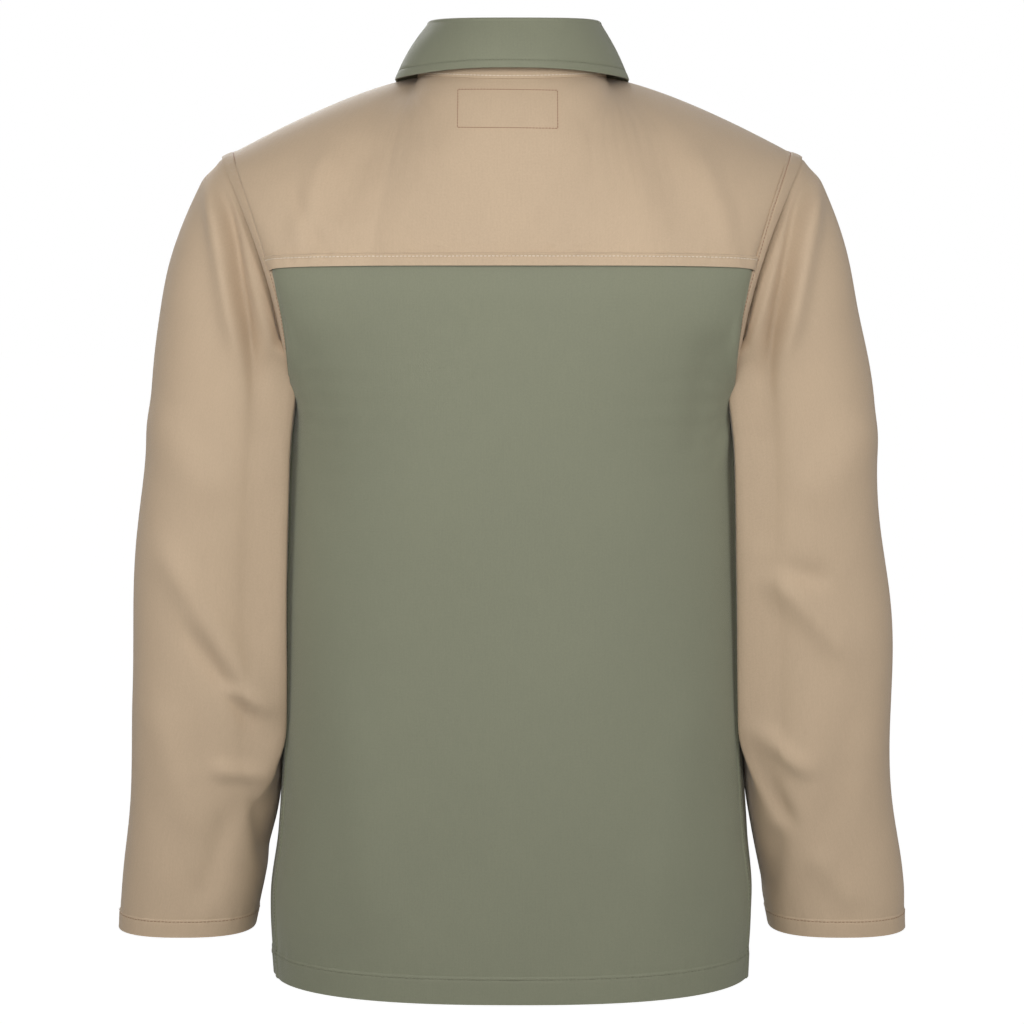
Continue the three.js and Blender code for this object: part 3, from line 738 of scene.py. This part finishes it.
BODY_INSIDE = (0, -10, 400)
BACK_TOP, FRONT_TOP = YOKE_SEAM + 9, YOKE_SEAM + 4
FRONT_WIDTH = FRONT_SEAM[0] - FRONT_EDGE
FRONT_STITCH = 8         # from the edge beside the zip
BACK_FOLDS = [
    ((-186, 560), (-172, 430), 7, 3.2), ((-160, 540), (-150, 440), 12, -1.8),
    ((182, 540), (170, 440), 8, 1.8), ((160, 520), (150, 380), 16, -1.2),
    ((-150, 250), (-120, 60), 22, 1.6), ((140, 260), (110, 40), 24, 1.8),
    ((-60, 330), (-40, 40), 34, 1.2), ((50, 360), (60, 60), 36, -1.2),
]


def eased(at, place, reach):
    """A smooth average of a surface over a stretch either side of each place, so that it has no kinks."""
    steps = np.linspace(-1, 1, 9)
    weights = (1 - steps ** 2) / np.sum(1 - steps ** 2)
    return sum(w * at(place + step * reach) for step, w in zip(steps, weights))


def hem_relief(height, rise=0.8):
    return band(height, HEM_DEPTH, rise) + groove(height, HEM_STITCH)


def tucked_in(relief, height):
    """Flattens a panel out where it goes in under the yoke."""
    out = smooth((YOKE_SEAM - height) / 22)
    return relief * out - 0.5 * (1 - out)


def back_panel_at(u, v):
    height = v * BACK_TOP
    share, half = mirrored(u)
    reach = np.minimum(75 * smooth((1 - share) * 3.2), np.minimum(height, BACK_TOP - height))
    return eased(lambda h: back_at(share * back_seam_share(h), h), height, reach) * half


def back_panel_relief(p, u, v):
    height = p[..., 2]
    from_side = (1 - np.abs(2 * u - 1)) * 200
    slack = (ripples(p, 230, 1.8, 3) + 1.3 * folds(p, BACK_FOLDS)) * smooth(from_side / 25)
    seams = hem_relief(height, 0.9) + band(from_side, 8, 1.0)
    pull = 0.7 * puckers(p[..., 0], 5) * smooth(1 - np.abs(height - HEM_DEPTH) / 16)
    return tucked_in(slack + seams + pull, height)


def side_panel_relief(seed):
    def relief(p, u, v):
        height = p[..., 2]
        edges = smooth(np.minimum(u, 1 - u) * 8) * smooth((YOKE_SEAM - height) / 40)
        return ripples(p, 200, 1.6, seed) * edges + hem_relief(height) - 0.4 * smooth((u - 0.95) * 20)
    return relief


def front_relief(seed):
    def relief(p, u, v):
        height, from_edge = p[..., 2], u * FRONT_WIDTH
        edge = band(from_edge, 10, 0.6) + groove(from_edge, FRONT_STITCH)
        slack = ripples(p, 240, 1.0, seed) * smooth(np.minimum(from_edge / 30, (1 - u) * 8))
        return tucked_in(slack + hem_relief(height) + edge, height)
    return relief


def front_panel_at(u, v):
    return front_at(mix(FRONT_EDGE, FRONT_SEAM[0], u), v * FRONT_TOP)


def hem_line(skin, top):
    return seam_line(skin, (0.004, 0.996), HEM_STITCH / top)


back_skin = Skin(back_panel_at, BODY_INSIDE, relief=back_panel_relief)
back_rows = [hem_line(back_skin, BACK_TOP)] + [seam_line(back_skin, u, (0.02, 0.8)) for u in (0.016, 0.984)]
back_trim = sewn("back_panel_stitching", back_rows, "sage", on_torso)
cloth_piece("back_panel_cloth", "back_panel", "green_twill", on_torso, [back_trim], back_skin,
            knots(130, (0, 0.03, 12), (0.97, 1, 12)), knots(120, (0.025, 0.048, 18), (0.95, 1, 10)))

for name, side in SIDES.items():
    skin = Skin(side_panel_at, (side * 40, -10, 300), side, side_panel_relief(11 + side))
    trim = sewn(f"{name}_side_stitching", [hem_line(skin, YOKE_SEAM)], "sage", on_torso)
    cloth_piece(f"{name}_side_cloth", f"{name}_side_panel", "green_twill", on_torso, [trim], skin,
                70, knots(100, (0.025, 0.048, 18)))

    skin = Skin(front_panel_at, BODY_INSIDE, side, front_relief(21 + side))
    rows = [seam_line(skin, u, (0.01, 0.99)) for u in (FRONT_STITCH / FRONT_WIDTH, 0.985)]
    rows.append(hem_line(skin, FRONT_TOP))
    trim = sewn(f"{name}_front_stitching", rows, "sage", on_front)
    cloth_piece(f"{name}_front_cloth", f"{name}_front_panel", "green_twill", on_front, [trim], skin,
                knots(60, (0, 0.09, 14)), knots(110, (0.025, 0.048, 18)))

    facing = Skin(lambda u, v: front_at(mix(13, 52, u), mix(3, YOKE_SEAM - 5, v)), BODY_INSIDE, side)
    cloth_piece(f"{name}_facing_cloth", f"{name}_front_facing", "green_twill", on_front, [], facing,
                14, 90, thick=0.9, start=-4.6)


# ---------------- yokes and armhole strips

YOKE_BAND = 10           # depth of the felled seam
YOKE_STITCH = 7.5        # height of its stitches above the seam
YOKE_FOLDS = [
    ((150, 690), (172, 610), 10, 1.6), ((120, 700), (140, 630), 14, -1.4), ((176, 660), (150, 600), 7, -1.3),
    ((-150, 690), (-176, 610), 11, 1.5), ((-118, 700), (-140, 620), 14, -1.2),
    ((70, 700), (90, 620), 22, 1.1), ((-60, 690), (-50, 610), 24, -0.9),
    ((-18, 612), (-22, 600), 3, 0.9), ((-30, 613), (-36, 600), 3.5, -0.8),
    ((-48, 612), (-52, 600), 4, 0.8), ((56, 612), (60, 600), 4, 0.7), ((78, 612), (82, 601), 4, -0.6),
]


def seam_rise(across):
    """The back yoke's seam lies a little higher in the middle than at the armholes."""
    return 4.5 - 3 * across ** 2


def back_yoke_at(u, v):
    across, half = mirrored(u)
    reach = np.minimum(0.2 * smooth(v * 2.2), np.minimum(across, 0.96 * (1 - across)))
    p = eased(lambda a: yoke_at(a, v, True), across, reach)
    return p * half + vec(0, 0, v ** 3 * seam_rise(across))


def yoke_relief(behind, seed):
    def relief(p, u, v):
        from_seam = p[..., 2] - YOKE_SEAM - (seam_rise(np.abs(2 * u - 1)) if behind else 0)
        step = band(from_seam, YOKE_BAND, 1.8, 1.3) + groove(from_seam, YOKE_STITCH, 0.55, 0.9)
        pull = 0.9 * puckers(p[..., 0], seed, 14) * smooth(1 - np.abs(from_seam - 8) / 12)
        free = smooth(v * 2.5)
        slack = ripples(p, 190, 1.3, seed) + (2.0 * folds(p, YOKE_FOLDS) if behind else 0)
        return 0.4 * smooth(v * 3) + step + pull + slack * free * smooth((1 - v) * 9)
    return relief


YOKE_INSIDE = (0, -10, 640)
yoke_skin = Skin(back_yoke_at, YOKE_INSIDE, relief=yoke_relief(True, 31))


def level_line(skin, behind):
    """Stitch line round a yoke, level with its seam."""
    u = np.linspace(0.005, 0.995, 160)
    height = YOKE_SEAM + YOKE_STITCH + (seam_rise(np.abs(2 * u - 1)) if behind else 0)
    v = solve(lambda t: skin.base(u, t)[..., 2] - height, 0.5, 1.0, u)
    return stitch_row(skin, u, v)


STRIP_STITCH = 0.2       # place of the stitches across the armhole strip, from the body side


def strip_at(u, v):
    turn = np.asarray(u) * 2 * PI
    return between(binding_edge(turn), armhole_loop(turn), mix(-0.14, 1.0, v))


def strip_relief(p, u, v):
    round_edge = power(np.sin(PI * np.clip(v, 0.02, 0.98)), 0.4)
    low = mix(1, 0.45, smooth((np.cos(2 * PI * u) - 0.6) / 0.3))
    rim = (0.2 + 1.7 * round_edge) * low + groove(v, STRIP_STITCH, 0.7, 0.06)
    return rim + 0.35 * puckers(u * 560, 7) * round_edge


yoke_trim = sewn("back_yoke_stitching", [level_line(yoke_skin, True)], "pale", on_torso)
yoke = cloth_piece("back_yoke_cloth", "back_yoke", "beige_twill", on_torso, [yoke_trim], yoke_skin,
                   190, knots(70, (0.91, 1, 34)))
yoke_tree = BVHTree.FromPolygons([v.co for v in yoke.data.vertices],
                                 [list(f.vertices) for f in yoke.data.polygons])

for name, side in SIDES.items():
    skin = Skin(lambda u, v: yoke_at(u, v, False, FRONT_EDGE), (side * 60, 30, 600), side,
                yoke_relief(False, 41 + side))
    trim = sewn(f"{name}_front_yoke_stitching", [level_line(skin, False)], "pale", on_front)
    cloth_piece(f"{name}_front_yoke_cloth", f"{name}_front_yoke", "beige_twill", on_front, [trim], skin,
                80, knots(60, (0.91, 1, 26)))

    skin = Skin(strip_at, (side * 100, -5, 590), side, strip_relief)
    rows = [seam_line(skin, (0, 1), STRIP_STITCH, 400)]
    trim = sewn(f"{name}_armhole_stitching", rows, "rust", on_torso)
    cloth_piece(f"{name}_armhole_strip", f"{name}_armhole_binding", "beige_twill", on_torso, [trim], skin,
                240, 18, thick=1.2, wrapped=True)


# ---------------- collar

def round_neck(u, end, ring):
    across, half = mirrored(u)
    return neck_ring(across * end, **ring) * half


def stand_at(u, v):
    return between(round_neck(u, COLLAR_END, NECK_SEAM), round_neck(u, COLLAR_END, ROLL_LINE), v)


def fall_at(u, share):
    return between(round_neck(u, COLLAR_END, ROLL_LINE), round_neck(u, FALL_END, FALL_EDGE), share)


COLLAR_DEPTH, COLLAR_LENGTH = 46, 460
COLLAR_STITCH = 6.8      # from the outer edge
COLLAR_ROW = 1 - COLLAR_STITCH / COLLAR_DEPTH
ROLL_PART = 0.1
ROLL_RADIUS = 2.0


def collar_at(u, v):
    """Over the roll line, then down to the outer edge, with the fall bowed a little outwards."""
    u, v = np.broadcast_arrays(np.asarray(u, float), v)
    share = np.clip((v - ROLL_PART) / (1 - ROLL_PART), 0, 1)
    turn = np.clip(v / ROLL_PART, 0, 1) * PI
    p = fall_at(u, share)
    away = unit(p * (1, 1, 0) - (0, NECK_MIDDLE, 0))
    rolled = ROLL_RADIUS * (1 - np.cos(turn)) * (1 - share)
    angle = np.abs(2 * u - 1) * mix(COLLAR_END, FALL_END, share)
    corner = share * np.sin(np.minimum(angle, PI / 2) * 2) ** 2
    bow = 2.2 * np.sin(PI * share) + 0.6 * share - 7 * corner
    drop = vec(0, 0, -3.5 * share * np.sin(angle) ** 2)
    lean = vec(-4 * power(1 - share, 2) * smooth(p[..., 0] / 60) * (p[..., 0] > 0), 0, 0)
    lift = vec(0, 0, ROLL_RADIUS * 1.2 * np.sin(turn) + 0.7)
    return p + away * (rolled + bow)[..., None] + lift + lean + drop


def collar_relief(p, u, v):
    edge = np.minimum((1 - v) * COLLAR_DEPTH, np.minimum(u, 1 - u) * COLLAR_LENGTH + 2)
    hem = groove(edge, COLLAR_STITCH, 0.45, 1.0) + 0.3 * smooth(edge / 1.5)
    return hem + ripples(p, 120, 0.5, 51) * smooth(v * 3)


COLLAR_INSIDE = (0, -16, 700)
stand_skin = Skin(stand_at, (0, -16, 770), relief=lambda p, u, v: 0.9 + groove(v * 45, 2.2, 0.3))
stand_trim = sewn("collar_stand_stitching", [seam_line(stand_skin, (0, 1), 0.05)], "pale", on_torso)
stand = cloth_piece("collar_stand_cloth", "collar_stand", "beige_twill", on_torso, [stand_trim],
                    stand_skin, 120, 16, thick=1.8)

collar_skin = Skin(collar_at, COLLAR_INSIDE, relief=collar_relief)
collar_rows = [seam_line(collar_skin, (0.017, 0.983), COLLAR_ROW)]
collar_rows += [seam_line(collar_skin, u, (0.1, COLLAR_ROW), 60) for u in (0.015, 0.985)]
collar_trim = sewn("collar_stitching", collar_rows, "sage", on_torso)
collar = cloth_piece("top_collar_cloth", "top_collar", "green_twill", on_torso, [collar_trim], collar_skin,
                     knots(160, (0, 0.025, 8), (0.975, 1, 8)), knots(40, (0, 0.12, 12), (0.8, 0.9, 12)),
                     held="folded", rests_on=[stand])
cloth_piece("under_collar_cloth", "under_collar", "green_twill", on_torso, [], collar_skin, 120, 24,
            held="folded", rests_on=[collar], thick=0.7, start=-1.1,
            trim=lambda u, v: (mix(0.004, 0.996, u), mix(0.3, 0.992, v)))


# ---------------- label and hanger loop

def seen_from_behind(x, height):
    """The yoke's outer face and normal behind each (x, height)."""
    places, normals = [], []
    for at in row(vec(x, 400, height)).reshape(-1, 3):
        hit, normal, _, _ = yoke_tree.ray_cast(Vector(at), Vector((0, -1, 0)))
        places.append(np.array(hit) * 1000 + (0, 0, NECK_HEIGHT))
        normals.append(np.array(normal))
    return np.array(places), np.array(normals)


# The label's place on the yoke as (left, right) and (low, high), and its rise per millimetre across
LABEL = dict(x=(-36.5, 43.5), heights=(706, 737), tilt=0.012)


def label_outline():
    (left, right), (low, high) = LABEL["x"], LABEL["heights"]
    corners = [(left, low), (right, low), (right, high), (left, high)]
    rows = []
    for (x0, h0), (x1, h1) in zip(corners, corners[1:] + corners[:1]):
        share = np.linspace(0, 1, 24)
        x, h = mix(x0, x1, share), mix(h0, h1, share)
        rows.append(seen_from_behind(x, h + LABEL["tilt"] * x))
    return rows


sewn("label_stitching", label_outline(), "rust", on_torso, pitch=2.6, length=2.0)


def label_skin():
    u, v = np.meshgrid(np.linspace(0, 1, 25), np.linspace(0, 1, 11))
    x, h = mix(*LABEL["x"], u), mix(*LABEL["heights"], v)
    places, normals = seen_from_behind(x.ravel(), (h + LABEL["tilt"] * x).ravel())
    grid, out = places.reshape(*u.shape, 3), normals.reshape(*u.shape, 3)

    def at(s, t):
        s, t = np.broadcast_arrays(np.clip(s, 0, 1), np.clip(t, 0, 1))
        j, i = np.minimum((s * 24).astype(int), 23), np.minimum((t * 10).astype(int), 9)
        a, b = s * 24 - j, t * 10 - i
        inner = grid - out * 1.3
        low, high = [between(inner[k, j], inner[k, j + 1], a) for k in (i, i + 1)]
        return between(low, high, b)

    return Skin(at, (0, -60, 720))


cloth_piece("neck_label_cloth", "neck_label", "label_cloth", on_torso, [], label_skin(), 24, 10,
            held="laid", rests_on=[yoke], thick=0.5)


def loop_at(u, v):
    """A folded tape hanging in a U from the neck seam, u along it and v across."""
    turn = u * PI
    reach = mix(23.5, 29.5, v)
    return vec(-reach * np.cos(turn), 69, 745 - mix(27, 33, v) * power(np.sin(turn), 0.8))


loop_skin = Skin(loop_at, (0, 40, 730))
loop_rows = [seam_line(loop_skin, (0, 1), v) for v in (0.15, 0.85)]
loop_trim = sewn("hanger_loop_stitching", loop_rows, "brown", on_loop)
cloth_piece("hanger_loop_tape", "hanger_loop", "loop_tape", on_loop, [loop_trim], loop_skin, 60, 6, thick=1.4)


# ---------------- sleeves

# Each fold runs between two (x, height) points, with its width and height
SLEEVE_FOLDS = {
    "left": [
        ((236, 676), (206, 500), 7, -4.5), ((248, 670), (222, 520), 9, 3.2),
        ((214, 520), (200, 440), 6, -1), ((290, 370), (196, 215), 13, 2.6),
        ((268, 300), (196, 190), 8, -2.6), ((240, 250), (194, 225), 6, 2.4),
        ((250, 180), (196, 172), 8, 2.2), ((204, 400), (210, 270), 7, -1.2),
        ((214, 160), (206, 90), 7, -2.4), ((300, 480), (240, 400), 20, 1.6),
        ((300, 240), (260, 120), 16, 1.4), ((232, 150), (262, 60), 12, -1.4),
    ],
    "right": [
        ((-236, 676), (-204, 500), 7, -4.5), ((-248, 670), (-222, 520), 9, 3.2),
        ((-212, 520), (-200, 440), 6, -1), ((-196, 366), (-285, 268), 13, 2.6),
        ((-196, 352), (-262, 338), 11, -1.8), ((-196, 218), (-250, 175), 8, 2.6),
        ((-196, 200), (-235, 130), 7, -2.4), ((-204, 400), (-210, 300), 7, -1.2),
        ((-300, 470), (-240, 400), 20, 1.4), ((-290, 250), (-262, 120), 17, -1.4),
        ((-222, 130), (-214, 60), 9, -2.0), ((-250, 110), (-290, 60), 12, 1.3),
    ],
}
SLEEVE_RUN = 500         # length of the sleeve that cuff distances are counted in


def sleeve_relief(name, seed):
    def relief(p, u, v):
        from_cuff = (1 - v) * SLEEVE_RUN
        behind = smooth((p[..., 1] + 15) / 30)
        slack = ripples(p, 120, 2.4, seed) + 2.3 * folds(p, SLEEVE_FOLDS[name]) * mix(0.4, 1, behind)
        free = smooth(v * 16) * smooth(from_cuff / 40) * (1 - 0.9 * resting(u, v))
        lower = smooth((0.97 - np.cos(2 * PI * u)) / 0.5)
        tuck = 3.0 * np.exp(-((v - 0.055) / 0.03) ** 2) - 4.5 * np.exp(-((v - 0.008) / 0.009) ** 2)
        cuff = band(from_cuff, CUFF_DEPTH, 0.8) + groove(from_cuff, CUFF_STITCH)
        pull = 0.5 * puckers(u * 360, seed, 11) * smooth(1 - np.abs(from_cuff - CUFF_DEPTH) / 16)
        head = 1.2 * smooth(v * 90) - 1.2
        return slack * free + cuff + pull + head + tuck * behind * lower
    return relief


for name, side in SIDES.items():
    skin = Skin(sleeve_at, (side * 258, -10, 340), side, sleeve_relief(name, 61 + side))
    rows = [seam_line(skin, (0, 1), 1 - CUFF_STITCH / SLEEVE_RUN, 300)]
    trim = sewn(f"{name}_cuff_stitching", rows, "brown", on_sleeve)
    cloth_piece(f"{name}_sleeve_cloth", f"{name}_sleeve", "beige_twill", on_sleeve, [trim], skin,
                150, knots(170, (0, 0.08, 40), (0.955, 0.985, 18)), wrapped=True)


# ---------------- pockets, flaps and studs

# (left, right), (bottom, top) and how far a pocket stands out
POCKETS = {"chest": ((32, 132), (402, 524), 7.5), "lower": ((28, 140), (48, 238), 9)}
POCKET_HEM, POCKET_STITCH = 18, 17


def patch_pocket(name, side, which):
    """Sewn to the front at its sides and bottom, standing open at the top."""
    wide, tall, fullness = POCKETS[which]
    depth = tall[1] - tall[0]

    def relief(p, u, v):
        arch = np.sqrt(4 * u * (1 - u))
        stand = fullness * arch * np.sin(PI / 2 * np.clip(v, 0, 1)) ** 0.6
        edge = np.minimum(u, 1 - u) * (wide[1] - wide[0])
        from_top = (1 - v) * depth
        hem = band(from_top, POCKET_HEM, 0.5) + groove(from_top, POCKET_STITCH) + groove(edge, 2.2)
        return 1.4 + stand + hem + ripples(p, 90, 0.8, 71 + side) * arch * v

    skin = Skin(lambda u, v: front_at(mix(*wide, u), mix(*tall, v)), BODY_INSIDE, side, relief)
    rows = [seam_line(skin, (0.01, 0.99), 1 - POCKET_STITCH / depth)]
    rows += [seam_line(skin, u, (0.02, 0.99)) for u in (0.02, 0.98)]
    rows.append(seam_line(skin, (0.02, 0.98), 0.02))
    trim = sewn(f"{name}_{which}_pocket_stitching", rows, "sage", on_front)
    cloth_piece(f"{name}_{which}_pocket_cloth", f"{name}_{which}_pocket", "green_twill", on_front, [trim],
                skin, 48, 56, thick=1.1)


FLAP_X, FLAP_TOP, FLAP_DROP = (30, 134), 537, 46


def flap_frame(side, local):
    """From a chest flap's own frame, with its origin at the middle of its hinge, to the jacket's."""
    ends = front_at(np.array(FLAP_X, float), np.full(2, float(FLAP_TOP)))
    middle = front_at(np.array([sum(FLAP_X) / 2]), np.array([float(FLAP_TOP)]))[0]
    yaw = side * math.atan2(ends[1, 1] - ends[0, 1], ends[1, 0] - ends[0, 0])
    x, y, z = np.moveaxis(np.asarray(local, float), -1, 0)
    return vec(*turned(x, y, yaw), z) + (side * middle[0], middle[1] - 2.2, FLAP_TOP)


def chest_flap(name, side):
    def at(u, v):
        u, v = np.broadcast_arrays(u, np.asarray(v, float))
        point = smooth(1 - np.abs(2 * u - 1))
        fall = FLAP_DROP * v * (0.88 + 0.12 * point)
        out = -1.2 - 9.4 * smooth(fall / 11) ** 0.8 - 3.6 * fall / FLAP_DROP
        local = vec(mix(-51.5, 51.5, u), out, -fall - 0.4)
        return flap_frame(side, local) * (side, 1, 1)

    def relief(p, u, v):
        edge = np.minimum(np.minimum(u, 1 - u) * 103, (1 - v) * 44)
        return groove(edge, 5.5, 0.35) + 0.3 * smooth(edge / 1.5)

    skin = Skin(at, (side * 82, -60, 510), side, relief)
    rows = [seam_line(skin, u, (0.06, 0.87), 60) for u in (0.053, 0.947)]
    rows.append(seam_line(skin, (0.053, 0.947), 0.875))
    trim = sewn(f"{name}_flap_stitching", rows, "pale", on_flap)
    cloth_piece(f"{name}_chest_flap_cloth", f"{name}_chest_flap", "beige_twill", on_flap, [trim],
                skin, 50, 30, thick=1.3)


def lathe(name, profile, place, steps=48):
    """Solid of revolution about -Y: profile is [radius, distance out] from its back to its front."""
    turns = np.arange(steps) * 2 * PI / steps
    points = [place(vec(radius * np.cos(turns), -out, radius * np.sin(turns))) for radius, out in profile]
    obj = link(name, np.concatenate(points), tube(len(profile), steps))
    obj.data.set_sharp_from_angle(angle=math.radians(50))
    return obj


# [radius, distance out] from the back, round the rim and over the dished front to the middle
STUD_CAP = [(5.6, -0.75), (6.3, -0.5), (6.4, 0.1), (6.1, 0.6), (5.4, 0.85), (4.9, 0.62), (4.4, 0.6),
            (3.4, 0.78), (2.0, 0.92), (0.6, 0.96), (0.05, 0.96)]

for name, side in SIDES.items():
    for which in POCKETS:
        patch_pocket(name, side, which)
    chest_flap(name, side)
    cap = lathe(f"{name}_stud_cap_turned", STUD_CAP, lambda p: flap_frame(side, p + (0, -15.3, -33)))
    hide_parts(f"{name}_stud_cap")
    paint(cap, FINISHES["stud_metal"], "stud_metal")
    on_flap(cap)


# ---------------- zip

ZIP_LEAN = math.atan2(NECK_FRONT_Y - HEM_FRONT_Y, NECK_FRONT_HEIGHT)
ZIP_MIDDLE_Y, ZIP_BOTTOM, ZIP_TOP = 3.1, 3, 664
TOOTH_PITCH = 2.6


def zip_frame(local):
    """From the zip's own frame, up along the centre front, to the jacket's."""
    x, y, z = np.moveaxis(np.asarray(local, float), -1, 0)
    height, depth = turned(z, y, ZIP_LEAN)
    return vec(x, depth + HEM_FRONT_Y, height)


def zip_tape(name, side):
    def at(u, v):
        height = mix(ZIP_BOTTOM, ZIP_TOP, v)
        outer = mix(17, 12, smooth((height - 588) / 12))
        inner = mix(7.8, 6.2, smooth((height - 11) / 2))
        return zip_frame(vec(mix(inner, outer, u), ZIP_MIDDLE_Y - 0.5, height))

    def relief(p, u, v):
        return 0.5 * np.exp(-((u - 0.06) / 0.07) ** 2)

    cloth_piece(f"{name}_zip_tape_woven", f"{name}_zip_tape", "zip_tape", on_front, [],
                Skin(at, (0, 0, 300), side, relief), 12, 240)


# [x, depth, half height] from a tooth's nose to its legs on the tape
TOOTH = [(2.9, -1.0, 0.5), (3.5, -1.9, 0.72), (5.0, -2.2, 0.8), (6.5, -1.9, 0.95)]


def zip_teeth(name, side):
    """A row of separate cast teeth, each with a nose, a waist and two legs on the tape."""
    bottom = 11.8 if side > 0 else 17.3
    count = int((ZIP_TOP - 6 - bottom) / TOOTH_PITCH)
    points, faces = [], []
    for k in range(count):
        middle = bottom + (k + 0.5) * TOOTH_PITCH
        faces += tube(len(TOOTH), 4, len(points))
        for x, deep, half in TOOTH:
            for y, z in ((deep, -half), (deep, half), (-deep, half), (-deep, -half)):
                points.append((side * x, ZIP_MIDDLE_Y + y, middle + z))
    if side > 0:
        faces = [face[::-1] for face in faces]
    teeth = link(f"{name}_zip_teeth_cast", zip_frame(points), faces)
    teeth.data.set_sharp_from_angle(angle=math.radians(30))
    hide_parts(f"{name}_zip_teeth")
    paint(teeth, FINISHES["zip_metal"], "zip_metal")
    on_front(teeth)


for name, side in SIDES.items():
    zip_tape(name, side)
    zip_teeth(name, side)

HARDWARE = {"zip_metal": ["zip_box", "zip_pin", "zip_slider", "zip_pull", "left_top_stop", "right_top_stop"],
            "stud_metal": ["left_stud_post", "right_stud_post"]}
for slot, nodes in HARDWARE.items():
    for node in nodes:
        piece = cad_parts[node]
        piece.data.materials.clear()
        paint(piece, FINISHES[slot])


# ---------------- floor, light and camera

def aimed(name, data, place, aim):
    """A lamp or camera at one place, turned towards another."""
    obj = add_object(name, data)
    obj.location = place
    obj.rotation_euler = (Vector(aim) - Vector(place)).to_track_quat("-Z", "Y").to_euler()
    return obj


# (place, diameter, power in watts)
LAMPS = {
    "key": ((0.1, 1.33, 0.16), 0.8, 10.3),
    "left fill": ((1.8, 1.3, 0.3), 1.4, 14),
    "right fill": ((-1.8, 1.3, 0.3), 1.4, 16.5),
    "front": ((0.4, -2.4, 0.9), 1.8, 62),
}


def lights():
    for name, (place, size, watts) in LAMPS.items():
        lamp = bpy.data.lights.new(name, "AREA")
        lamp.shape, lamp.size, lamp.energy = "DISK", size, watts
        aimed(name, lamp, place, (0, 0, -0.2))


def floor():
    reach, level = 60000, NECK_HEIGHT - 2400
    corners = [(-reach, -reach, level), (reach, -reach, level), (reach, reach, level), (-reach, reach, level)]
    obj = link("floor", corners, [[0, 1, 2, 3]])
    finish = Paint("Floor")
    grain = finish.noise(30, detail=4.0, kind="Object")
    finish.set(Base_Color=finish.blend(grain, (0.86, 0.86, 0.85, 1), (0.9, 0.9, 0.89, 1)), Roughness=0.9)
    seen = finish.add("ShaderNodeLightPath").outputs["Is Camera Ray"]
    finish.set(Emission_Color=(1, 1, 1, 1), Emission_Strength=finish.times(seen, 0.78))
    paint(obj, finish.material)


def surroundings():
    world = bpy.data.worlds.new("Studio")
    bpy.context.scene.world = world
    world.use_nodes = True
    tree = world.node_tree
    background = tree.nodes["Background"]
    background.inputs["Color"].default_value = (1, 1, 1, 1)
    seen = tree.nodes.new("ShaderNodeLightPath").outputs["Is Camera Ray"]
    strength = tree.nodes.new("ShaderNodeMix")
    strength.inputs["A"].default_value, strength.inputs["B"].default_value = 0.25, 1.0
    tree.links.new(seen, strength.inputs["Factor"])
    tree.links.new(strength.outputs["Result"], background.inputs["Strength"])


def camera():
    lens = bpy.data.cameras.new("camera")
    lens.lens, lens.sensor_width = 105, 36
    bpy.context.scene.camera = aimed("camera", lens, (0, 2.5, -0.139), (0, 0, -0.3605))


floor()
lights()
surroundings()
camera()
bpy.context.scene.view_settings.view_transform = "Standard"
